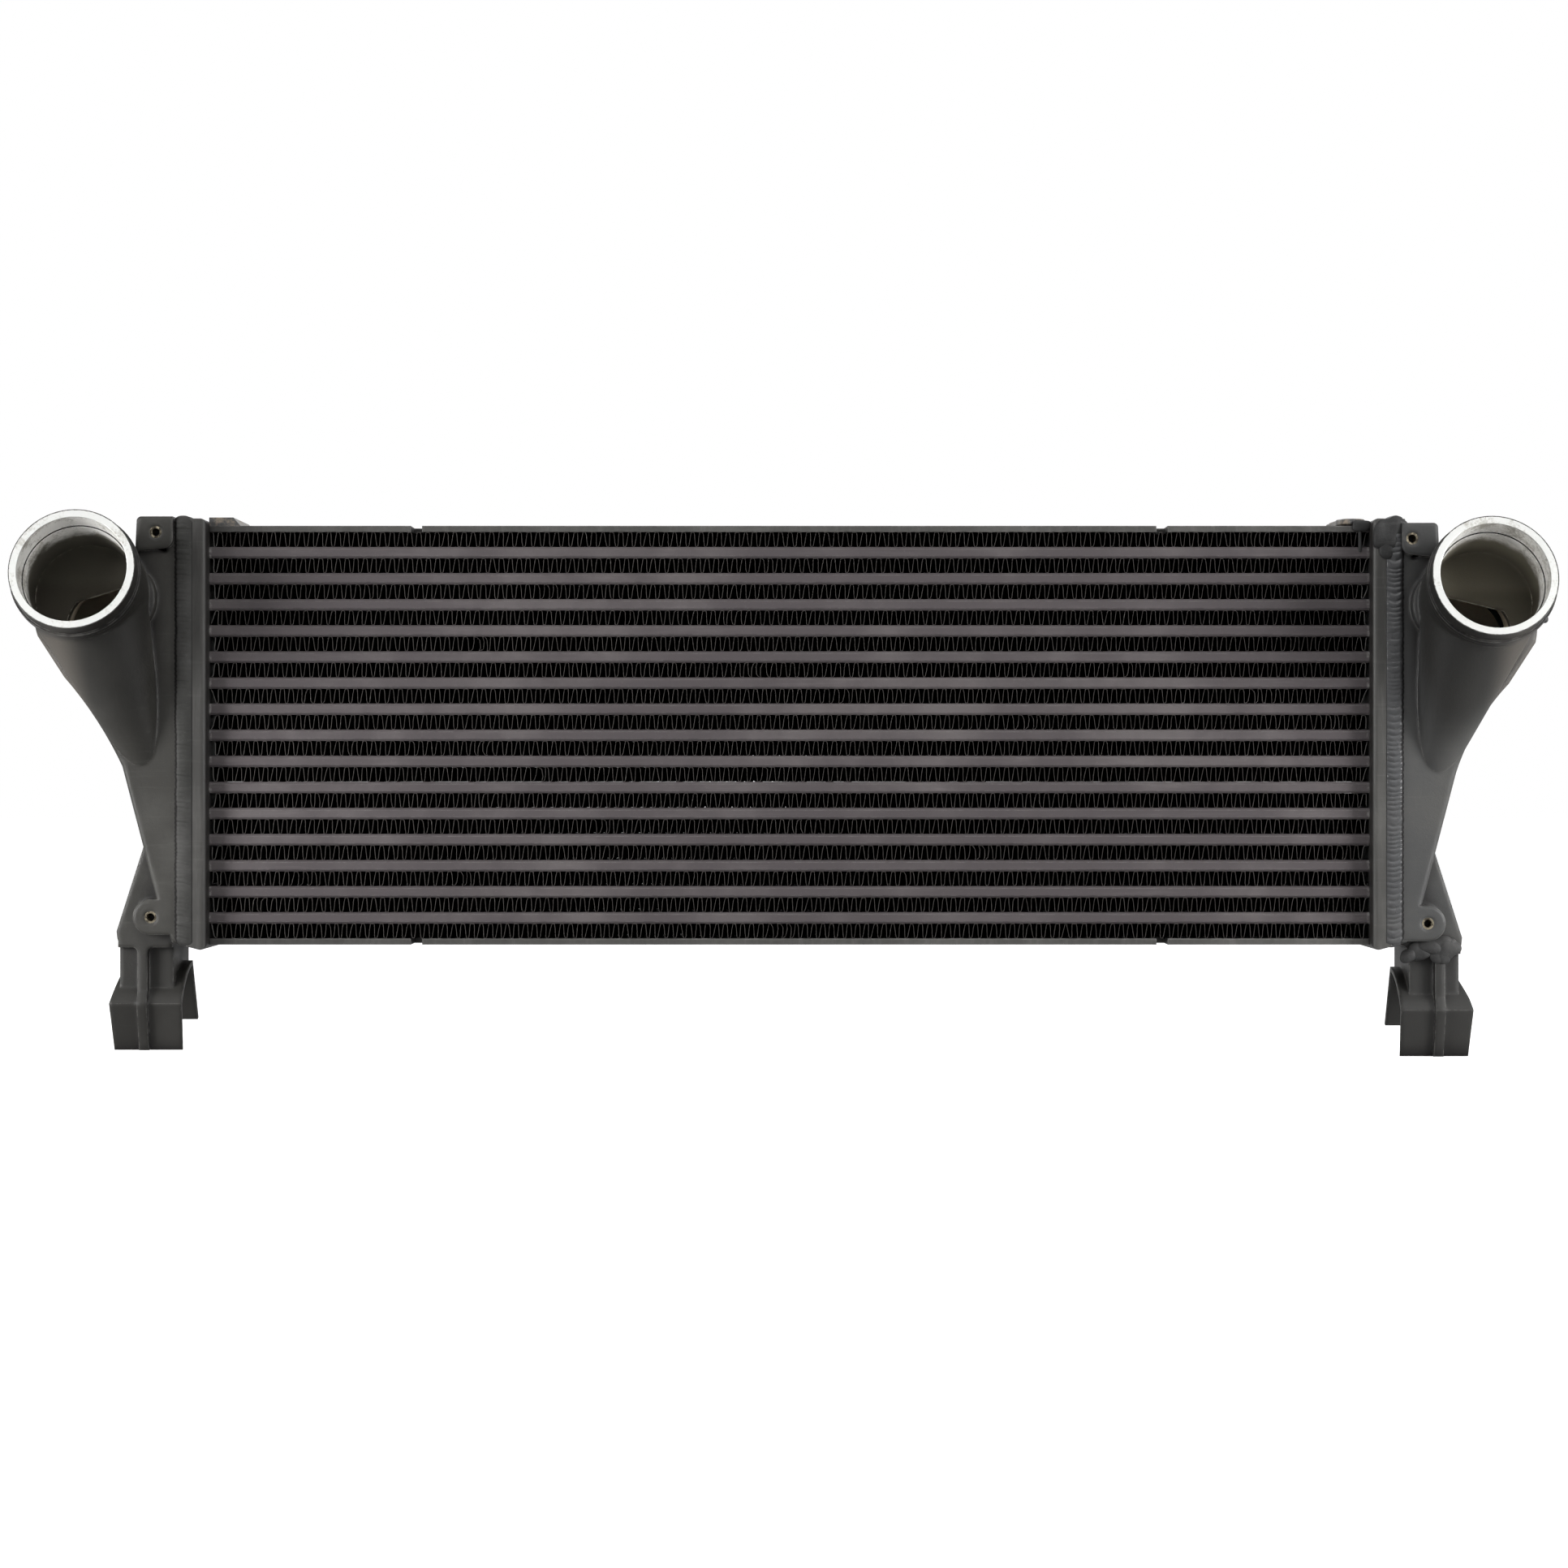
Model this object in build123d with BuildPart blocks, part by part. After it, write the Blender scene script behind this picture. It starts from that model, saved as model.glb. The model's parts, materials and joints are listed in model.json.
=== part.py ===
"""A wide tube-and-fin intercooler with two cast end tanks.

X runs across the car, Y from front (negative) to back, Z up.  The origin is the
middle of the core.  All lengths are in millimetres.
"""
from build123d import *
import os
from math import asin, cos, radians, sin

os.makedirs("parts", exist_ok=True)

# Core: flat tubes and corrugated fins stacked between two side plates
tube_count = 15
tube_span = 722.0           # free length of the tubes between the header plates
tube_depth = 57.0
tube_thickness = 7.0
tube_wall = 1.0
tube_nose_bevel = 1.3       # the flat noses have small broken corners
tube_stick_out = 3.0        # each tube end stands this far into its tank
fin_height = 9.25
fin_waves = 9               # the real strip has about fourteen times as many
fin_gauge = 0.4
fin_setback = 1.0           # fins end this far behind the tube noses
fin_end_gap = 1.0           # between the last wave and the header plate
braze_gap = 0.02            # between parts that are brazed together
turbulator_waves = 3
turbulator_gauge = 0.4
side_plate_thickness = 3.8
relief_cut_place = 232.0    # each side plate is notched here, both ways from the middle
relief_cut_width = 7.0
relief_cut_bridge = 15.0    # what a notch leaves standing at mid-depth

# Header pans
header_thickness = 3.0
header_overhang = 11.5      # the pan stands this far proud of the tubes, front and back
header_rise = 3.7           # and this far above and below the side plates
header_lip = 12.0           # from the core-side face to the pan's rim
header_bend_radius = 3.5
rim_slope = 0.26            # the pan's bottom rises this much per millimetre towards the tank
slot_clearance = 0.05

# End tanks.  "Outboard" is measured from the pan's rim, away from the core.
tank_wall = 4.0
tank_rim_gap = 0.3          # between the pan's rim and the tank's rim, under the weld
tank_edge_radius = 2.5      # round the front wall
tank_edge_bevel = 1.2       # round the back wall
right_tank_drop = 4.0       # the right tank is welded on this much lower
left_port_outboard = 58.5
right_port_outboard = 52.0
port_front = 56.0           # the centre of the port's face stands this far before the front wall
port_drop = 34.7            # below the pan's top
port_tilt = 16.2            # the port looks up by this many degrees
spigot_radius = 38.1
spigot_length = 10.0
bead_radius = 39.6
bead_width = 4.5
barrel_radius = 37.6        # of the neck behind the bead
port_bore_radius = 33.3
port_shoulder = 0.8         # the machined bore stops at a shoulder this high
shoulder_gap = 0.2          # and runs this far past the bead
passage_length = 48.0       # of the round passage, from the port's face

# The fairing: a cone from the neck down to a small round toe on the front wall
fairing_depth = 38.0        # its large end is centred this far behind the port's face
fairing_margin = 0.4        # and drawn in this much from the neck
flank_outboard = 16.5       # its toe lines up with the tank's inner flank
toe_radius = 12.0
toe_below_port = 112.0
toe_sink = 10.0             # the toe's centre is this far behind the front wall
throat_outboard = 70.5      # the corner of the passage through the front wall
throat_drop = 9.0           # below the port's centre
throat_corner = 24.0        # radius

# The body's front view
roof_step = 8.0             # the flat strip beside the weld
roof_run = 13.0
roof_dip = 4.0
shoulder_drop = 16.0        # of the roof below the pan's top
shoulder_inboard = 14.0     # from the port's axis
crown_outboard = 29.0       # from the port's axis, at its height
cheek_outboard = 34.0       # from the mean of the two port axes
cheek_below_port = 38.0
jaw_inboard = 16.5          # from the cheek
jaw_below_cheek = 25.5
throat_bend_inboard = 19.0  # from the jaw
throat_bend_below = 25.0
slant_outboard = 40.0       # the slanted wall's upper end
slant_below_port = 118.8
slant_foot_outboard = 19.0
slant_foot_rise = 34.0      # above the pan's bottom
heel_step = 9.0

# The crescent pad beside the neck
pad_inboard = 17.6          # its centre, from the port's axis
pad_below = 15.0
pad_radius = 21.5
pad_sweep = 40.0            # degrees either side of its middle
pad_width = 3.4
pad_proud = 10.0

# Threaded lug, threaded boss and their inserts
lug_hole_inboard = 40.2     # from the port's axis
lug_hole_drop = 8.7         # below the pan's top
lug_inner_margin = 10.5     # from the hole to the lug's edges
lug_outer_margin = 11.6
right_lug_shift = 4.2       # the right lug reaches this much further out past its hole
lug_rise = 1.0              # above the pan's top
lug_height = 20.5
lug_flare = 1.0             # the lower edge is this much longer outboard, and lower there
lug_slant = 1.5             # and higher inboard
lug_outer_corner = 3.0
lug_inner_corner = 6.0
lug_proud = 3.5
lug_thickness = 16.0
boss_outboard = 22.2
boss_rise = 21.3            # above the pan's bottom
boss_radius = 11.0
boss_thickness = 20.0
insert_radius = 3.7
insert_bore_radius = 2.5
insert_length = 12.0
insert_clearance = 0.02

# Gusset, leg and saddle below each tank; fronts and backs are given from mid-depth
gusset_face = 28.0
gusset_back = 12.0
gusset_weld_gap = 0.5       # between the gusset and the tank's weld
gusset_top_outboard = 28.5
gusset_top_rise = 66.0      # above the pan's bottom
gusset_tip_outboard = 45.8
gusset_tip_rise = 12.0
gusset_tip_height = 4.5
gusset_tip_lean = 0.5
leg_outboard = 28.1         # the middle of the leg
leg_width = 33.4
leg_rise = 6.0              # the leg's top, above the pan's bottom
leg_front = 22.0
leg_back = 28.0
rib_outboard = 1.5          # from the leg's middle
rib_width = 6.2
rib_proud = 3.0
rib_root = 2.0              # the rib is let into the leg by this much
rib_bend_rise = 8.0         # above the saddle's bulge
rib_foot_root = 1.0
rib_band = 4.0              # the band across the leg that the rib hangs from
pocket_corner = 3.5
saddle_inner_margin = 6.4   # the saddle stands this far past the leg
saddle_outer_margin = 5.6
right_foot_shift = 2.5      # the right foot sits this much further out
saddle_gauge = 3.0
saddle_crown_drop = 14.0    # heights of the saddle are given below the leg's top
saddle_slope_drop = 17.0
saddle_shoulder_drop = 29.5
saddle_end_drop = 32.0
saddle_bulge_drop = 39.0
saddle_back_drop = 52.0
saddle_foot_drop = 68.5
saddle_foot_taper = 1.8
saddle_bulge_front = 28.5
saddle_crown_back = 8.0
saddle_front_lean = 8.5     # the front flap's foot stands this far behind its bulge
saddle_back_reach = 31.0
foot_joint_gap = 0.1        # between the right tank's gusset and its separate foot

# Welds
weld_width = 8.5
weld_proud = 2.0
weld_bevel = 1.5
weld_lap = 3.5              # of the bead's width, this much lies on the header
corner_weld_length = 19.5
corner_weld_top_length = 15.0
corner_weld_height = 5.2
foot_weld_height = 8.0
foot_weld_proud = 2.0

# What follows from the sizes above
row_pitch = tube_thickness + fin_height
fin_rows = tube_count + 1
stack_height = tube_count * tube_thickness + fin_rows * fin_height
core_top = stack_height / 2 + side_plate_thickness
pan_top = core_top + header_rise
pan_bottom = -pan_top
header_face = tube_span / 2
header_depth = tube_depth + 2 * header_overhang
tank_half_depth = header_depth / 2
pan_rim = header_face + header_lip
tank_rim = tank_rim_gap     # outboard of the pan's rim, as all that follow here
weld_edge = weld_width - weld_lap
tube_length = tube_span + 2 * (header_thickness + tube_stick_out)
passage_depth = tube_depth - 2 * tube_wall
passage_height = tube_thickness - 2 * tube_wall
neck_length = spigot_length + bead_width
port_height = pan_top - port_drop
roof = pan_top - shoulder_drop
leg_top = pan_bottom + leg_rise
saddle_bulge = leg_top - saddle_bulge_drop
saddle_foot = leg_top - saddle_foot_drop
cut = 1.0                   # how far a cutting shape runs past what it cuts


def rim_bottom(outboard):
    """The sloping bottom edge that the pan, the weld and the tank's rim share."""
    return pan_bottom + rim_slope * (outboard + header_lip)


def port_outboard(side):
    return right_port_outboard if side > 0 else left_port_outboard


def spot(side, outboard, height):
    """A point of a tank in the front view, from the pan's rim on one side."""
    drop = right_tank_drop if side > 0 else 0.0
    return (side * (pan_rim + outboard), height - drop)


def pan_spot(side, outboard, height):
    """The same for a point that keeps the header's height."""
    return (side * (pan_rim + outboard), height)


def save(part, label):
    part.label = label
    export_step(part, f"parts/{label}.step")


# ---------------------------------------------------------------- charge tubes
def tube_height(index):
    return (index - (tube_count - 1) / 2) * row_pitch


def charge_tube(height):
    """A flat tube with small broken nose corners, open at both ends."""
    with BuildPart() as tube:
        with BuildSketch(Plane.YZ.offset(-tube_length / 2)) as section:
            with Locations((0, height)):
                Rectangle(tube_depth, tube_thickness)
                chamfer(section.vertices(), tube_nose_bevel)
                Rectangle(passage_depth, passage_height, mode=Mode.SUBTRACT)
        extrude(amount=tube_length)
    return tube.part


def zigzag(length, height, waves, gauge):
    """A closed zigzag strip, with its crests at plus and minus half the height."""
    swing = (height - gauge) / 2
    step = length / (2 * waves)
    crests = [(-length / 2 + i * step, swing if i % 2 else -swing) for i in range(2 * waves + 1)]
    upper = [(x, z + gauge / 2) for x, z in crests]
    lower = [(x, z - gauge / 2) for x, z in reversed(crests)]
    with BuildSketch(Plane.XY) as strip:
        with BuildLine():
            Polyline(*upper, *lower, close=True)
        make_face()
    return strip.sketch


# Each turbulator fills its tube's passage, with its waves across the tube's depth
turbulator_strip = zigzag(
    passage_depth - 2 * braze_gap, passage_height - 2 * braze_gap, turbulator_waves, turbulator_gauge
)


def turbulator(height):
    with BuildPart() as strip:
        with BuildSketch(Plane.YZ.offset(-tube_length / 2)):
            with Locations((0, height)):
                add(turbulator_strip)
        extrude(amount=tube_length)
    return strip.part


for index in range(tube_count):
    save(charge_tube(tube_height(index)), f"charge_tube_{index + 1:02d}")
    save(turbulator(tube_height(index)), f"turbulator_{index + 1:02d}")

# ---------------------------------------------------------------- air fins
fin_depth = tube_depth - 2 * fin_setback
fin_strip = zigzag(tube_span - 2 * fin_end_gap, fin_height - 2 * braze_gap, fin_waves, fin_gauge)


def outer_fin(height):
    """One corrugated strip between two tubes, as deep as the core."""
    with BuildPart() as fin:
        with BuildSketch(Plane.XZ.offset(-fin_depth / 2)):
            with Locations((0, height)):
                add(fin_strip)
        extrude(amount=fin_depth)
    return fin.part


for row in range(fin_rows):
    save(outer_fin((row - (fin_rows - 1) / 2) * row_pitch), f"outer_fin_{row + 1:02d}")


# ---------------------------------------------------------------- side plates
def side_plate(side):
    """A flat bar above or below the stack, notched twice so that it can stretch."""
    notch = (tube_depth - relief_cut_bridge) / 2
    with BuildPart() as plate:
        with BuildSketch(Plane.XY.offset(side * (core_top - side_plate_thickness / 2))):
            Rectangle(tube_span - 2 * braze_gap, tube_depth)
            with GridLocations(2 * relief_cut_place, tube_depth - notch, 2, 2):
                Rectangle(relief_cut_width, notch, mode=Mode.SUBTRACT)
        extrude(amount=side_plate_thickness / 2, both=True)
    return plate.part


save(side_plate(1), "top_side_plate")
save(side_plate(-1), "bottom_side_plate")


# ---------------------------------------------------------------- header pans
def rim_block(side, near, far, grow, half_depth):
    """A block in the shape of the rim, between two places outboard, grown by an amount."""
    with BuildPart() as block:
        with BuildSketch(Plane.XZ):
            with BuildLine():
                Polyline(
                    pan_spot(side, near, pan_top + grow),
                    pan_spot(side, far, pan_top + grow),
                    pan_spot(side, far, rim_bottom(far) - grow),
                    pan_spot(side, near, rim_bottom(near) - grow),
                    close=True,
                )
            make_face()
        extrude(amount=half_depth, both=True)
    return block.part


def header(side):
    """A pressed pan: a slotted plate with a rim turned towards the tank."""
    blank = rim_block(side, -header_lip, 0, 0, tank_half_depth)
    hollow_depth = tank_half_depth - header_thickness
    hollow = rim_block(side, header_thickness - header_lip, cut, -header_thickness, hollow_depth)
    with BuildPart() as pan:
        add(blank)
        core_side = pan.faces().sort_by(Axis.X)[0 if side > 0 else -1]
        fillet(core_side.edges(), radius=header_bend_radius)
        add(hollow, mode=Mode.SUBTRACT)
        with BuildSketch(Plane.YZ.offset(side * header_face)) as slots:
            with GridLocations(0, row_pitch, 1, tube_count):
                Rectangle(tube_depth + 2 * slot_clearance, tube_thickness + 2 * slot_clearance)
            chamfer(slots.vertices(), tube_nose_bevel)
        extrude(amount=side * header_thickness, mode=Mode.SUBTRACT)
    return pan.part


save(header(-1), "left_header")
save(header(1), "right_header")


# ---------------------------------------------------------------- end tanks
def port_point(side, behind):
    """A point on the port's axis, this far behind its face."""
    tilt = radians(port_tilt)
    x, z = spot(side, port_outboard(side), port_height - behind * sin(tilt))
    return Vector(x, behind * cos(tilt) - port_front - tank_half_depth, z)


def port_plane(side, behind):
    tilt = radians(port_tilt)
    return Plane(origin=port_point(side, behind), x_dir=(1, 0, 0), z_dir=(0, -cos(tilt), sin(tilt)))


def barrel(side):
    """The neck's round barrel, from the bead into the front wall."""
    with BuildPart() as neck:
        with BuildSketch(port_plane(side, neck_length)):
            Circle(barrel_radius)
        extrude(amount=-2 * port_front)
        split(bisect_by=Plane.XZ.offset(tank_half_depth - tank_wall / 2))
    return neck.part


def fairing(side, inset):
    """The cone that touches a ball in the neck and a ball in the toe, drawn in by an inset."""
    toe_x, toe_z = spot(side, flank_outboard + toe_radius, port_height - toe_below_port)
    large = port_point(side, fairing_depth)
    axis = Vector(toe_x, toe_sink - tank_half_depth, toe_z) - large
    large_radius = barrel_radius - fairing_margin - inset
    small_radius = toe_radius - inset
    slope = asin((large_radius - small_radius) / axis.length)
    start = large + axis.normalized() * (large_radius * sin(slope))
    with BuildPart() as cone:
        with Locations(Plane(origin=start, z_dir=axis)):
            Cone(
                large_radius * cos(slope),
                small_radius * cos(slope),
                axis.length - (large_radius - small_radius) * sin(slope),
                align=(Align.CENTER, Align.CENTER, Align.MIN),
            )
    return cone.part


def fairing_hollow(side):
    """The inside of the fairing, with one rounded corner where it passes the front wall."""
    corner = spot(side, throat_outboard, port_height - throat_drop)
    low = port_height - toe_below_port - toe_radius
    with BuildPart() as hollow:
        add(fairing(side, barrel_radius - port_bore_radius + port_shoulder))
        with BuildSketch(Plane.XZ) as view:
            with BuildLine():
                Polyline(
                    spot(side, 0, port_height - throat_drop),
                    corner,
                    spot(side, throat_outboard, low),
                    spot(side, 0, low),
                    close=True,
                )
            make_face()
            fillet(view.vertices().sort_by_distance(corner)[0], throat_corner)
        extrude(amount=2 * port_front, both=True, mode=Mode.INTERSECT)
    return hollow.part


def body_outline(side, inset):
    """Draw the tank's front view, drawn in by an inset but open to the header."""
    port = port_outboard(side)
    cheek = (port + left_port_outboard) / 2 + cheek_outboard - inset
    cheek_height = port_height - cheek_below_port
    jaw_height = cheek_height - jaw_below_cheek
    start = pan_spot(side, tank_rim, pan_top - inset)
    top = pan_spot(side, tank_rim + roof_step - inset, pan_top - inset)
    roof_low = spot(side, tank_rim + roof_run - inset, roof - roof_dip - inset)
    crown = spot(side, port - shoulder_inboard, roof - inset)
    corner = spot(side, port + crown_outboard - inset, port_height)
    cheek_spot = spot(side, cheek, cheek_height)
    jaw = spot(side, cheek - jaw_inboard, jaw_height)
    bend = spot(side, cheek - jaw_inboard - throat_bend_inboard, jaw_height - throat_bend_below)
    slant_top = spot(side, slant_outboard - inset, port_height - slant_below_port)
    slant_foot = spot(side, slant_foot_outboard - inset, pan_bottom + slant_foot_rise)
    heel = pan_spot(side, tank_rim + heel_step - inset, rim_bottom(tank_rim + heel_step) + inset)
    toe = pan_spot(side, tank_rim, rim_bottom(tank_rim) + inset)
    Line(start, top)
    Line(top, roof_low)
    Line(roof_low, crown)
    ThreePointArc(crown, corner, cheek_spot)
    Line(cheek_spot, jaw)
    ThreePointArc(jaw, bend, slant_top)
    Line(slant_top, slant_foot)
    Line(slant_foot, heel)
    Line(heel, toe)
    Line(toe, start)


def lug_hole(side):
    return spot(side, port_outboard(side) - lug_hole_inboard, pan_top - lug_hole_drop)


def boss_hole(side):
    return spot(side, boss_outboard, pan_bottom + boss_rise)


def lug(side):
    """The threaded ear at the top, proud of the tank's front wall."""
    shift = right_lug_shift if side > 0 else 0.0
    hole = port_outboard(side) - lug_hole_inboard + shift
    inner = hole - lug_inner_margin
    outer = hole + lug_outer_margin
    top = pan_top + lug_rise
    bottom = top - lug_height
    inner_low = spot(side, inner, bottom + lug_slant)
    outer_high = spot(side, outer, top)
    with BuildPart() as ear:
        with BuildSketch(Plane.XZ.offset(tank_half_depth + lug_proud)) as face:
            with BuildLine():
                Polyline(
                    spot(side, inner, top),
                    outer_high,
                    spot(side, outer + lug_flare, bottom - lug_flare),
                    inner_low,
                    close=True,
                )
            make_face()
            fillet(face.vertices().sort_by_distance(inner_low)[0], lug_inner_corner)
            fillet(face.vertices().sort_by_distance(outer_high)[0], lug_outer_corner)
        extrude(amount=-lug_thickness)
    return ear.part


def gusset(side):
    """The triangular web that carries the leg beyond the tank's slanted wall."""
    inner = weld_edge + gusset_weld_gap
    top = pan_bottom + gusset_top_rise
    tip = pan_bottom + gusset_tip_rise
    with BuildPart() as web:
        with BuildSketch(Plane.XZ.offset(-gusset_back)):
            with BuildLine():
                Polyline(
                    spot(side, inner, top),
                    spot(side, gusset_top_outboard, top),
                    spot(side, gusset_tip_outboard, tip),
                    spot(side, gusset_tip_outboard - gusset_tip_lean, tip - gusset_tip_height),
                    spot(side, leg_outboard + leg_width / 2, leg_top),
                    spot(side, leg_outboard - leg_width / 2, leg_top),
                    pan_spot(side, inner, rim_bottom(weld_edge)),
                    close=True,
                )
            make_face()
        extrude(amount=gusset_back + gusset_face)
    return web.part


def crescent(side):
    """The crescent pad beside the neck, round a centre of its own."""
    x, z = spot(side, port_outboard(side) - pad_inboard, port_height - pad_below)
    rims = []
    for radius in (pad_radius - pad_width / 2, pad_radius + pad_width / 2):
        angles = [radians(a) for a in (-pad_sweep, 0, pad_sweep)]
        rims.append([(x - side * radius * cos(a), z + radius * sin(a)) for a in angles])
    with BuildPart() as pad:
        with BuildSketch(Plane.XZ.offset(tank_half_depth - tank_wall / 2)):
            with BuildLine():
                ThreePointArc(*rims[0])
                ThreePointArc(*rims[1])
                Line(rims[0][0], rims[1][0])
                Line(rims[0][2], rims[1][2])
            make_face()
        extrude(amount=pad_proud + tank_wall / 2)
    return pad.part


def tank(side):
    """One cast tank without its foot: hollow body, neck, fairing, lug, boss and gusset."""
    neck = barrel(side)
    outer_fairing = fairing(side, 0)
    inner_fairing = fairing_hollow(side)
    pad = crescent(side)
    ear = lug(side)
    web = gusset(side)
    boss_root = tank_rim + tank_wall
    with BuildPart() as casting:
        with BuildSketch(Plane.XZ):
            with BuildLine():
                body_outline(side, 0)
            make_face()
        extrude(amount=tank_half_depth, both=True)
        rim_x = pan_rim + tank_rim + cut
        rounded = casting.faces().sort_by(Axis.Y)[0].edges()
        fillet(rounded.filter_by(lambda e: abs(e.center().X) > rim_x), tank_edge_radius)
        bevelled = casting.faces().sort_by(Axis.Y)[-1].edges()
        chamfer(bevelled.filter_by(lambda e: abs(e.center().X) > rim_x), tank_edge_bevel)
        # The neck: spigot, bead and barrel, and the fairing below it
        with BuildSketch(port_plane(side, 0)):
            Circle(spigot_radius)
        extrude(amount=-spigot_length)
        with BuildSketch(port_plane(side, spigot_length)):
            Circle(bead_radius)
        extrude(amount=-bead_width)
        add(neck)
        add(outer_fairing)
        add(pad)
        add(ear)
        with BuildSketch(Plane.XZ.offset(tank_half_depth)):
            with Locations(boss_hole(side)):
                Circle(boss_radius)
            with Locations(spot(side, (boss_outboard + boss_root) / 2, pan_bottom + boss_rise)):
                Rectangle(boss_outboard - boss_root, 2 * boss_radius)
        extrude(amount=-boss_thickness)
        add(web)
        # The hollow: port bore, passage, inside of the fairing, chamber along the tube ends
        with BuildSketch(port_plane(side, 0)):
            Circle(port_bore_radius)
        extrude(amount=-(neck_length + shoulder_gap), mode=Mode.SUBTRACT)
        with BuildSketch(port_plane(side, 0)):
            Circle(port_bore_radius - port_shoulder)
        extrude(amount=-passage_length, mode=Mode.SUBTRACT)
        add(inner_fairing, mode=Mode.SUBTRACT)
        with BuildSketch(Plane.XZ):
            with BuildLine():
                body_outline(side, tank_wall)
            make_face()
        extrude(amount=tank_half_depth - tank_wall, both=True, mode=Mode.SUBTRACT)
        # Seats of the threaded inserts
        with BuildSketch(Plane.XZ.offset(tank_half_depth + lug_proud)):
            with Locations(lug_hole(side)):
                Circle(insert_radius + insert_clearance)
        extrude(amount=-insert_length, mode=Mode.SUBTRACT)
        with BuildSketch(Plane.XZ.offset(tank_half_depth)):
            with Locations(boss_hole(side)):
                Circle(insert_radius + insert_clearance)
        extrude(amount=-insert_length, mode=Mode.SUBTRACT)
    return casting.part


# ---------------------------------------------------------------- legs and feet
def arch_outline(more):
    """Draw the saddle's side view, with both flaps made longer by an amount."""
    crown_height = leg_top - saddle_crown_drop
    back_foot_height = leg_top - saddle_back_drop
    back_slope = (back_foot_height - crown_height) / (saddle_back_reach - saddle_crown_back)
    front_foot = (saddle_front_lean - saddle_bulge_front, saddle_foot - more)
    bulge = (-saddle_bulge_front, saddle_bulge)
    shoulder = (-leg_front, leg_top - saddle_shoulder_drop)
    crown = (saddle_crown_back, crown_height)
    back_foot = (saddle_back_reach + more, back_foot_height + more * back_slope)
    Line(front_foot, bulge)
    ThreePointArc(bulge, shoulder, crown)
    Line(crown, back_foot)
    Line(back_foot, front_foot)


def foot(side, joint_gap):
    """A leg with front pockets and a centre rib, on a saddle that is open below."""
    drop = right_tank_drop if side > 0 else 0.0
    shift = right_foot_shift if side > 0 else 0.0
    leg_outer = leg_outboard + leg_width / 2
    leg_inner = leg_outboard - leg_width / 2 + shift
    leg_middle = (leg_inner + leg_outer) / 2
    inner = leg_inner - saddle_inner_margin
    outer = leg_outer + shift + saddle_outer_margin
    rib = leg_outboard + rib_outboard + shift
    saddle_start = min(side * (pan_rim + inner), side * (pan_rim + outer))
    rib_start = side * (pan_rim + rib) - rib_width / 2
    saddle_side = Plane(origin=(saddle_start, 0, -drop), x_dir=(0, 1, 0), z_dir=(1, 0, 0))
    rib_side = Plane(origin=(rib_start, 0, -drop), x_dir=(0, 1, 0), z_dir=(1, 0, 0))
    top = leg_top - joint_gap
    crown_height = leg_top - saddle_crown_drop
    with BuildPart() as stand:
        with BuildSketch(saddle_side):
            with BuildLine():
                arch_outline(0)
            make_face()
        extrude(amount=outer - inner)
        # Seen from the front the saddle's outer end slopes in at the top
        with BuildSketch(Plane.XZ):
            with BuildLine():
                Polyline(
                    spot(side, inner, crown_height + cut),
                    spot(side, leg_outer, crown_height + cut),
                    spot(side, leg_outer, leg_top - saddle_slope_drop),
                    spot(side, outer - saddle_foot_taper, leg_top - saddle_end_drop),
                    spot(side, outer, saddle_bulge),
                    spot(side, outer - saddle_foot_taper, saddle_foot - cut),
                    spot(side, inner + saddle_foot_taper / 2, saddle_foot - cut),
                    close=True,
                )
            make_face()
        extrude(amount=2 * saddle_back_reach, both=True, mode=Mode.INTERSECT)
        with BuildSketch(Plane.XY.offset(top - drop)):
            with Locations((side * (pan_rim + leg_middle), (leg_back - leg_front) / 2)):
                Rectangle(leg_outer - leg_inner, leg_back + leg_front)
        extrude(amount=saddle_bulge - top)
        # The band and rib in front of the pockets, and the rib's run over the saddle
        with BuildSketch(Plane.XZ.offset(leg_front)) as front:
            with Locations(spot(side, leg_middle, top - rib_band / 2)):
                Rectangle(leg_outer - leg_inner, rib_band)
            with Locations(spot(side, rib, (top + saddle_bulge) / 2)):
                Rectangle(rib_width, top - saddle_bulge)
            corners = front.vertices().filter_by(lambda v: abs(v.Y - (top - rib_band - drop)) < 0.01)
            rib_x = pan_rim + rib
            fillet(corners.filter_by(lambda v: abs(abs(v.X) - rib_x) < rib_width), pocket_corner)
        extrude(amount=gusset_face - leg_front)
        with BuildSketch(rib_side):
            with BuildLine():
                Polyline(
                    (-gusset_face, top),
                    (-gusset_face, saddle_bulge + rib_bend_rise),
                    (-saddle_bulge_front - rib_proud, saddle_bulge),
                    (saddle_front_lean - saddle_bulge_front - rib_proud, saddle_foot),
                    (saddle_front_lean - saddle_bulge_front + rib_foot_root, saddle_foot),
                    (rib_root - leg_front, saddle_bulge),
                    (rib_root - leg_front, top),
                    close=True,
                )
            make_face()
        extrude(amount=rib_width)
        # The channel under the saddle
        with BuildSketch(saddle_side):
            with BuildLine():
                arch_outline(4 * saddle_gauge)
            make_face()
            offset(amount=-saddle_gauge)
        extrude(amount=outer - inner, mode=Mode.SUBTRACT)
    return stand.part


left_casting = tank(-1)
left_foot = foot(-1, 0)
with BuildPart() as left_tank:
    add(left_casting)
    add(left_foot)

save(left_tank.part, "left_tank")
save(tank(1), "right_tank")
save(foot(1, foot_joint_gap), "right_foot")


# ---------------------------------------------------------------- threaded inserts
insert_seats = []
for side in (-1, 1):
    insert_seats.append((tank_half_depth + lug_proud, lug_hole(side)))
    insert_seats.append((tank_half_depth, boss_hole(side)))

with BuildPart() as inserts:
    for front, place in insert_seats:
        with BuildSketch(Plane.XZ.offset(front)):
            with Locations(place):
                Circle(insert_radius)
                Circle(insert_bore_radius, mode=Mode.SUBTRACT)
        extrude(amount=-insert_length)

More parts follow.
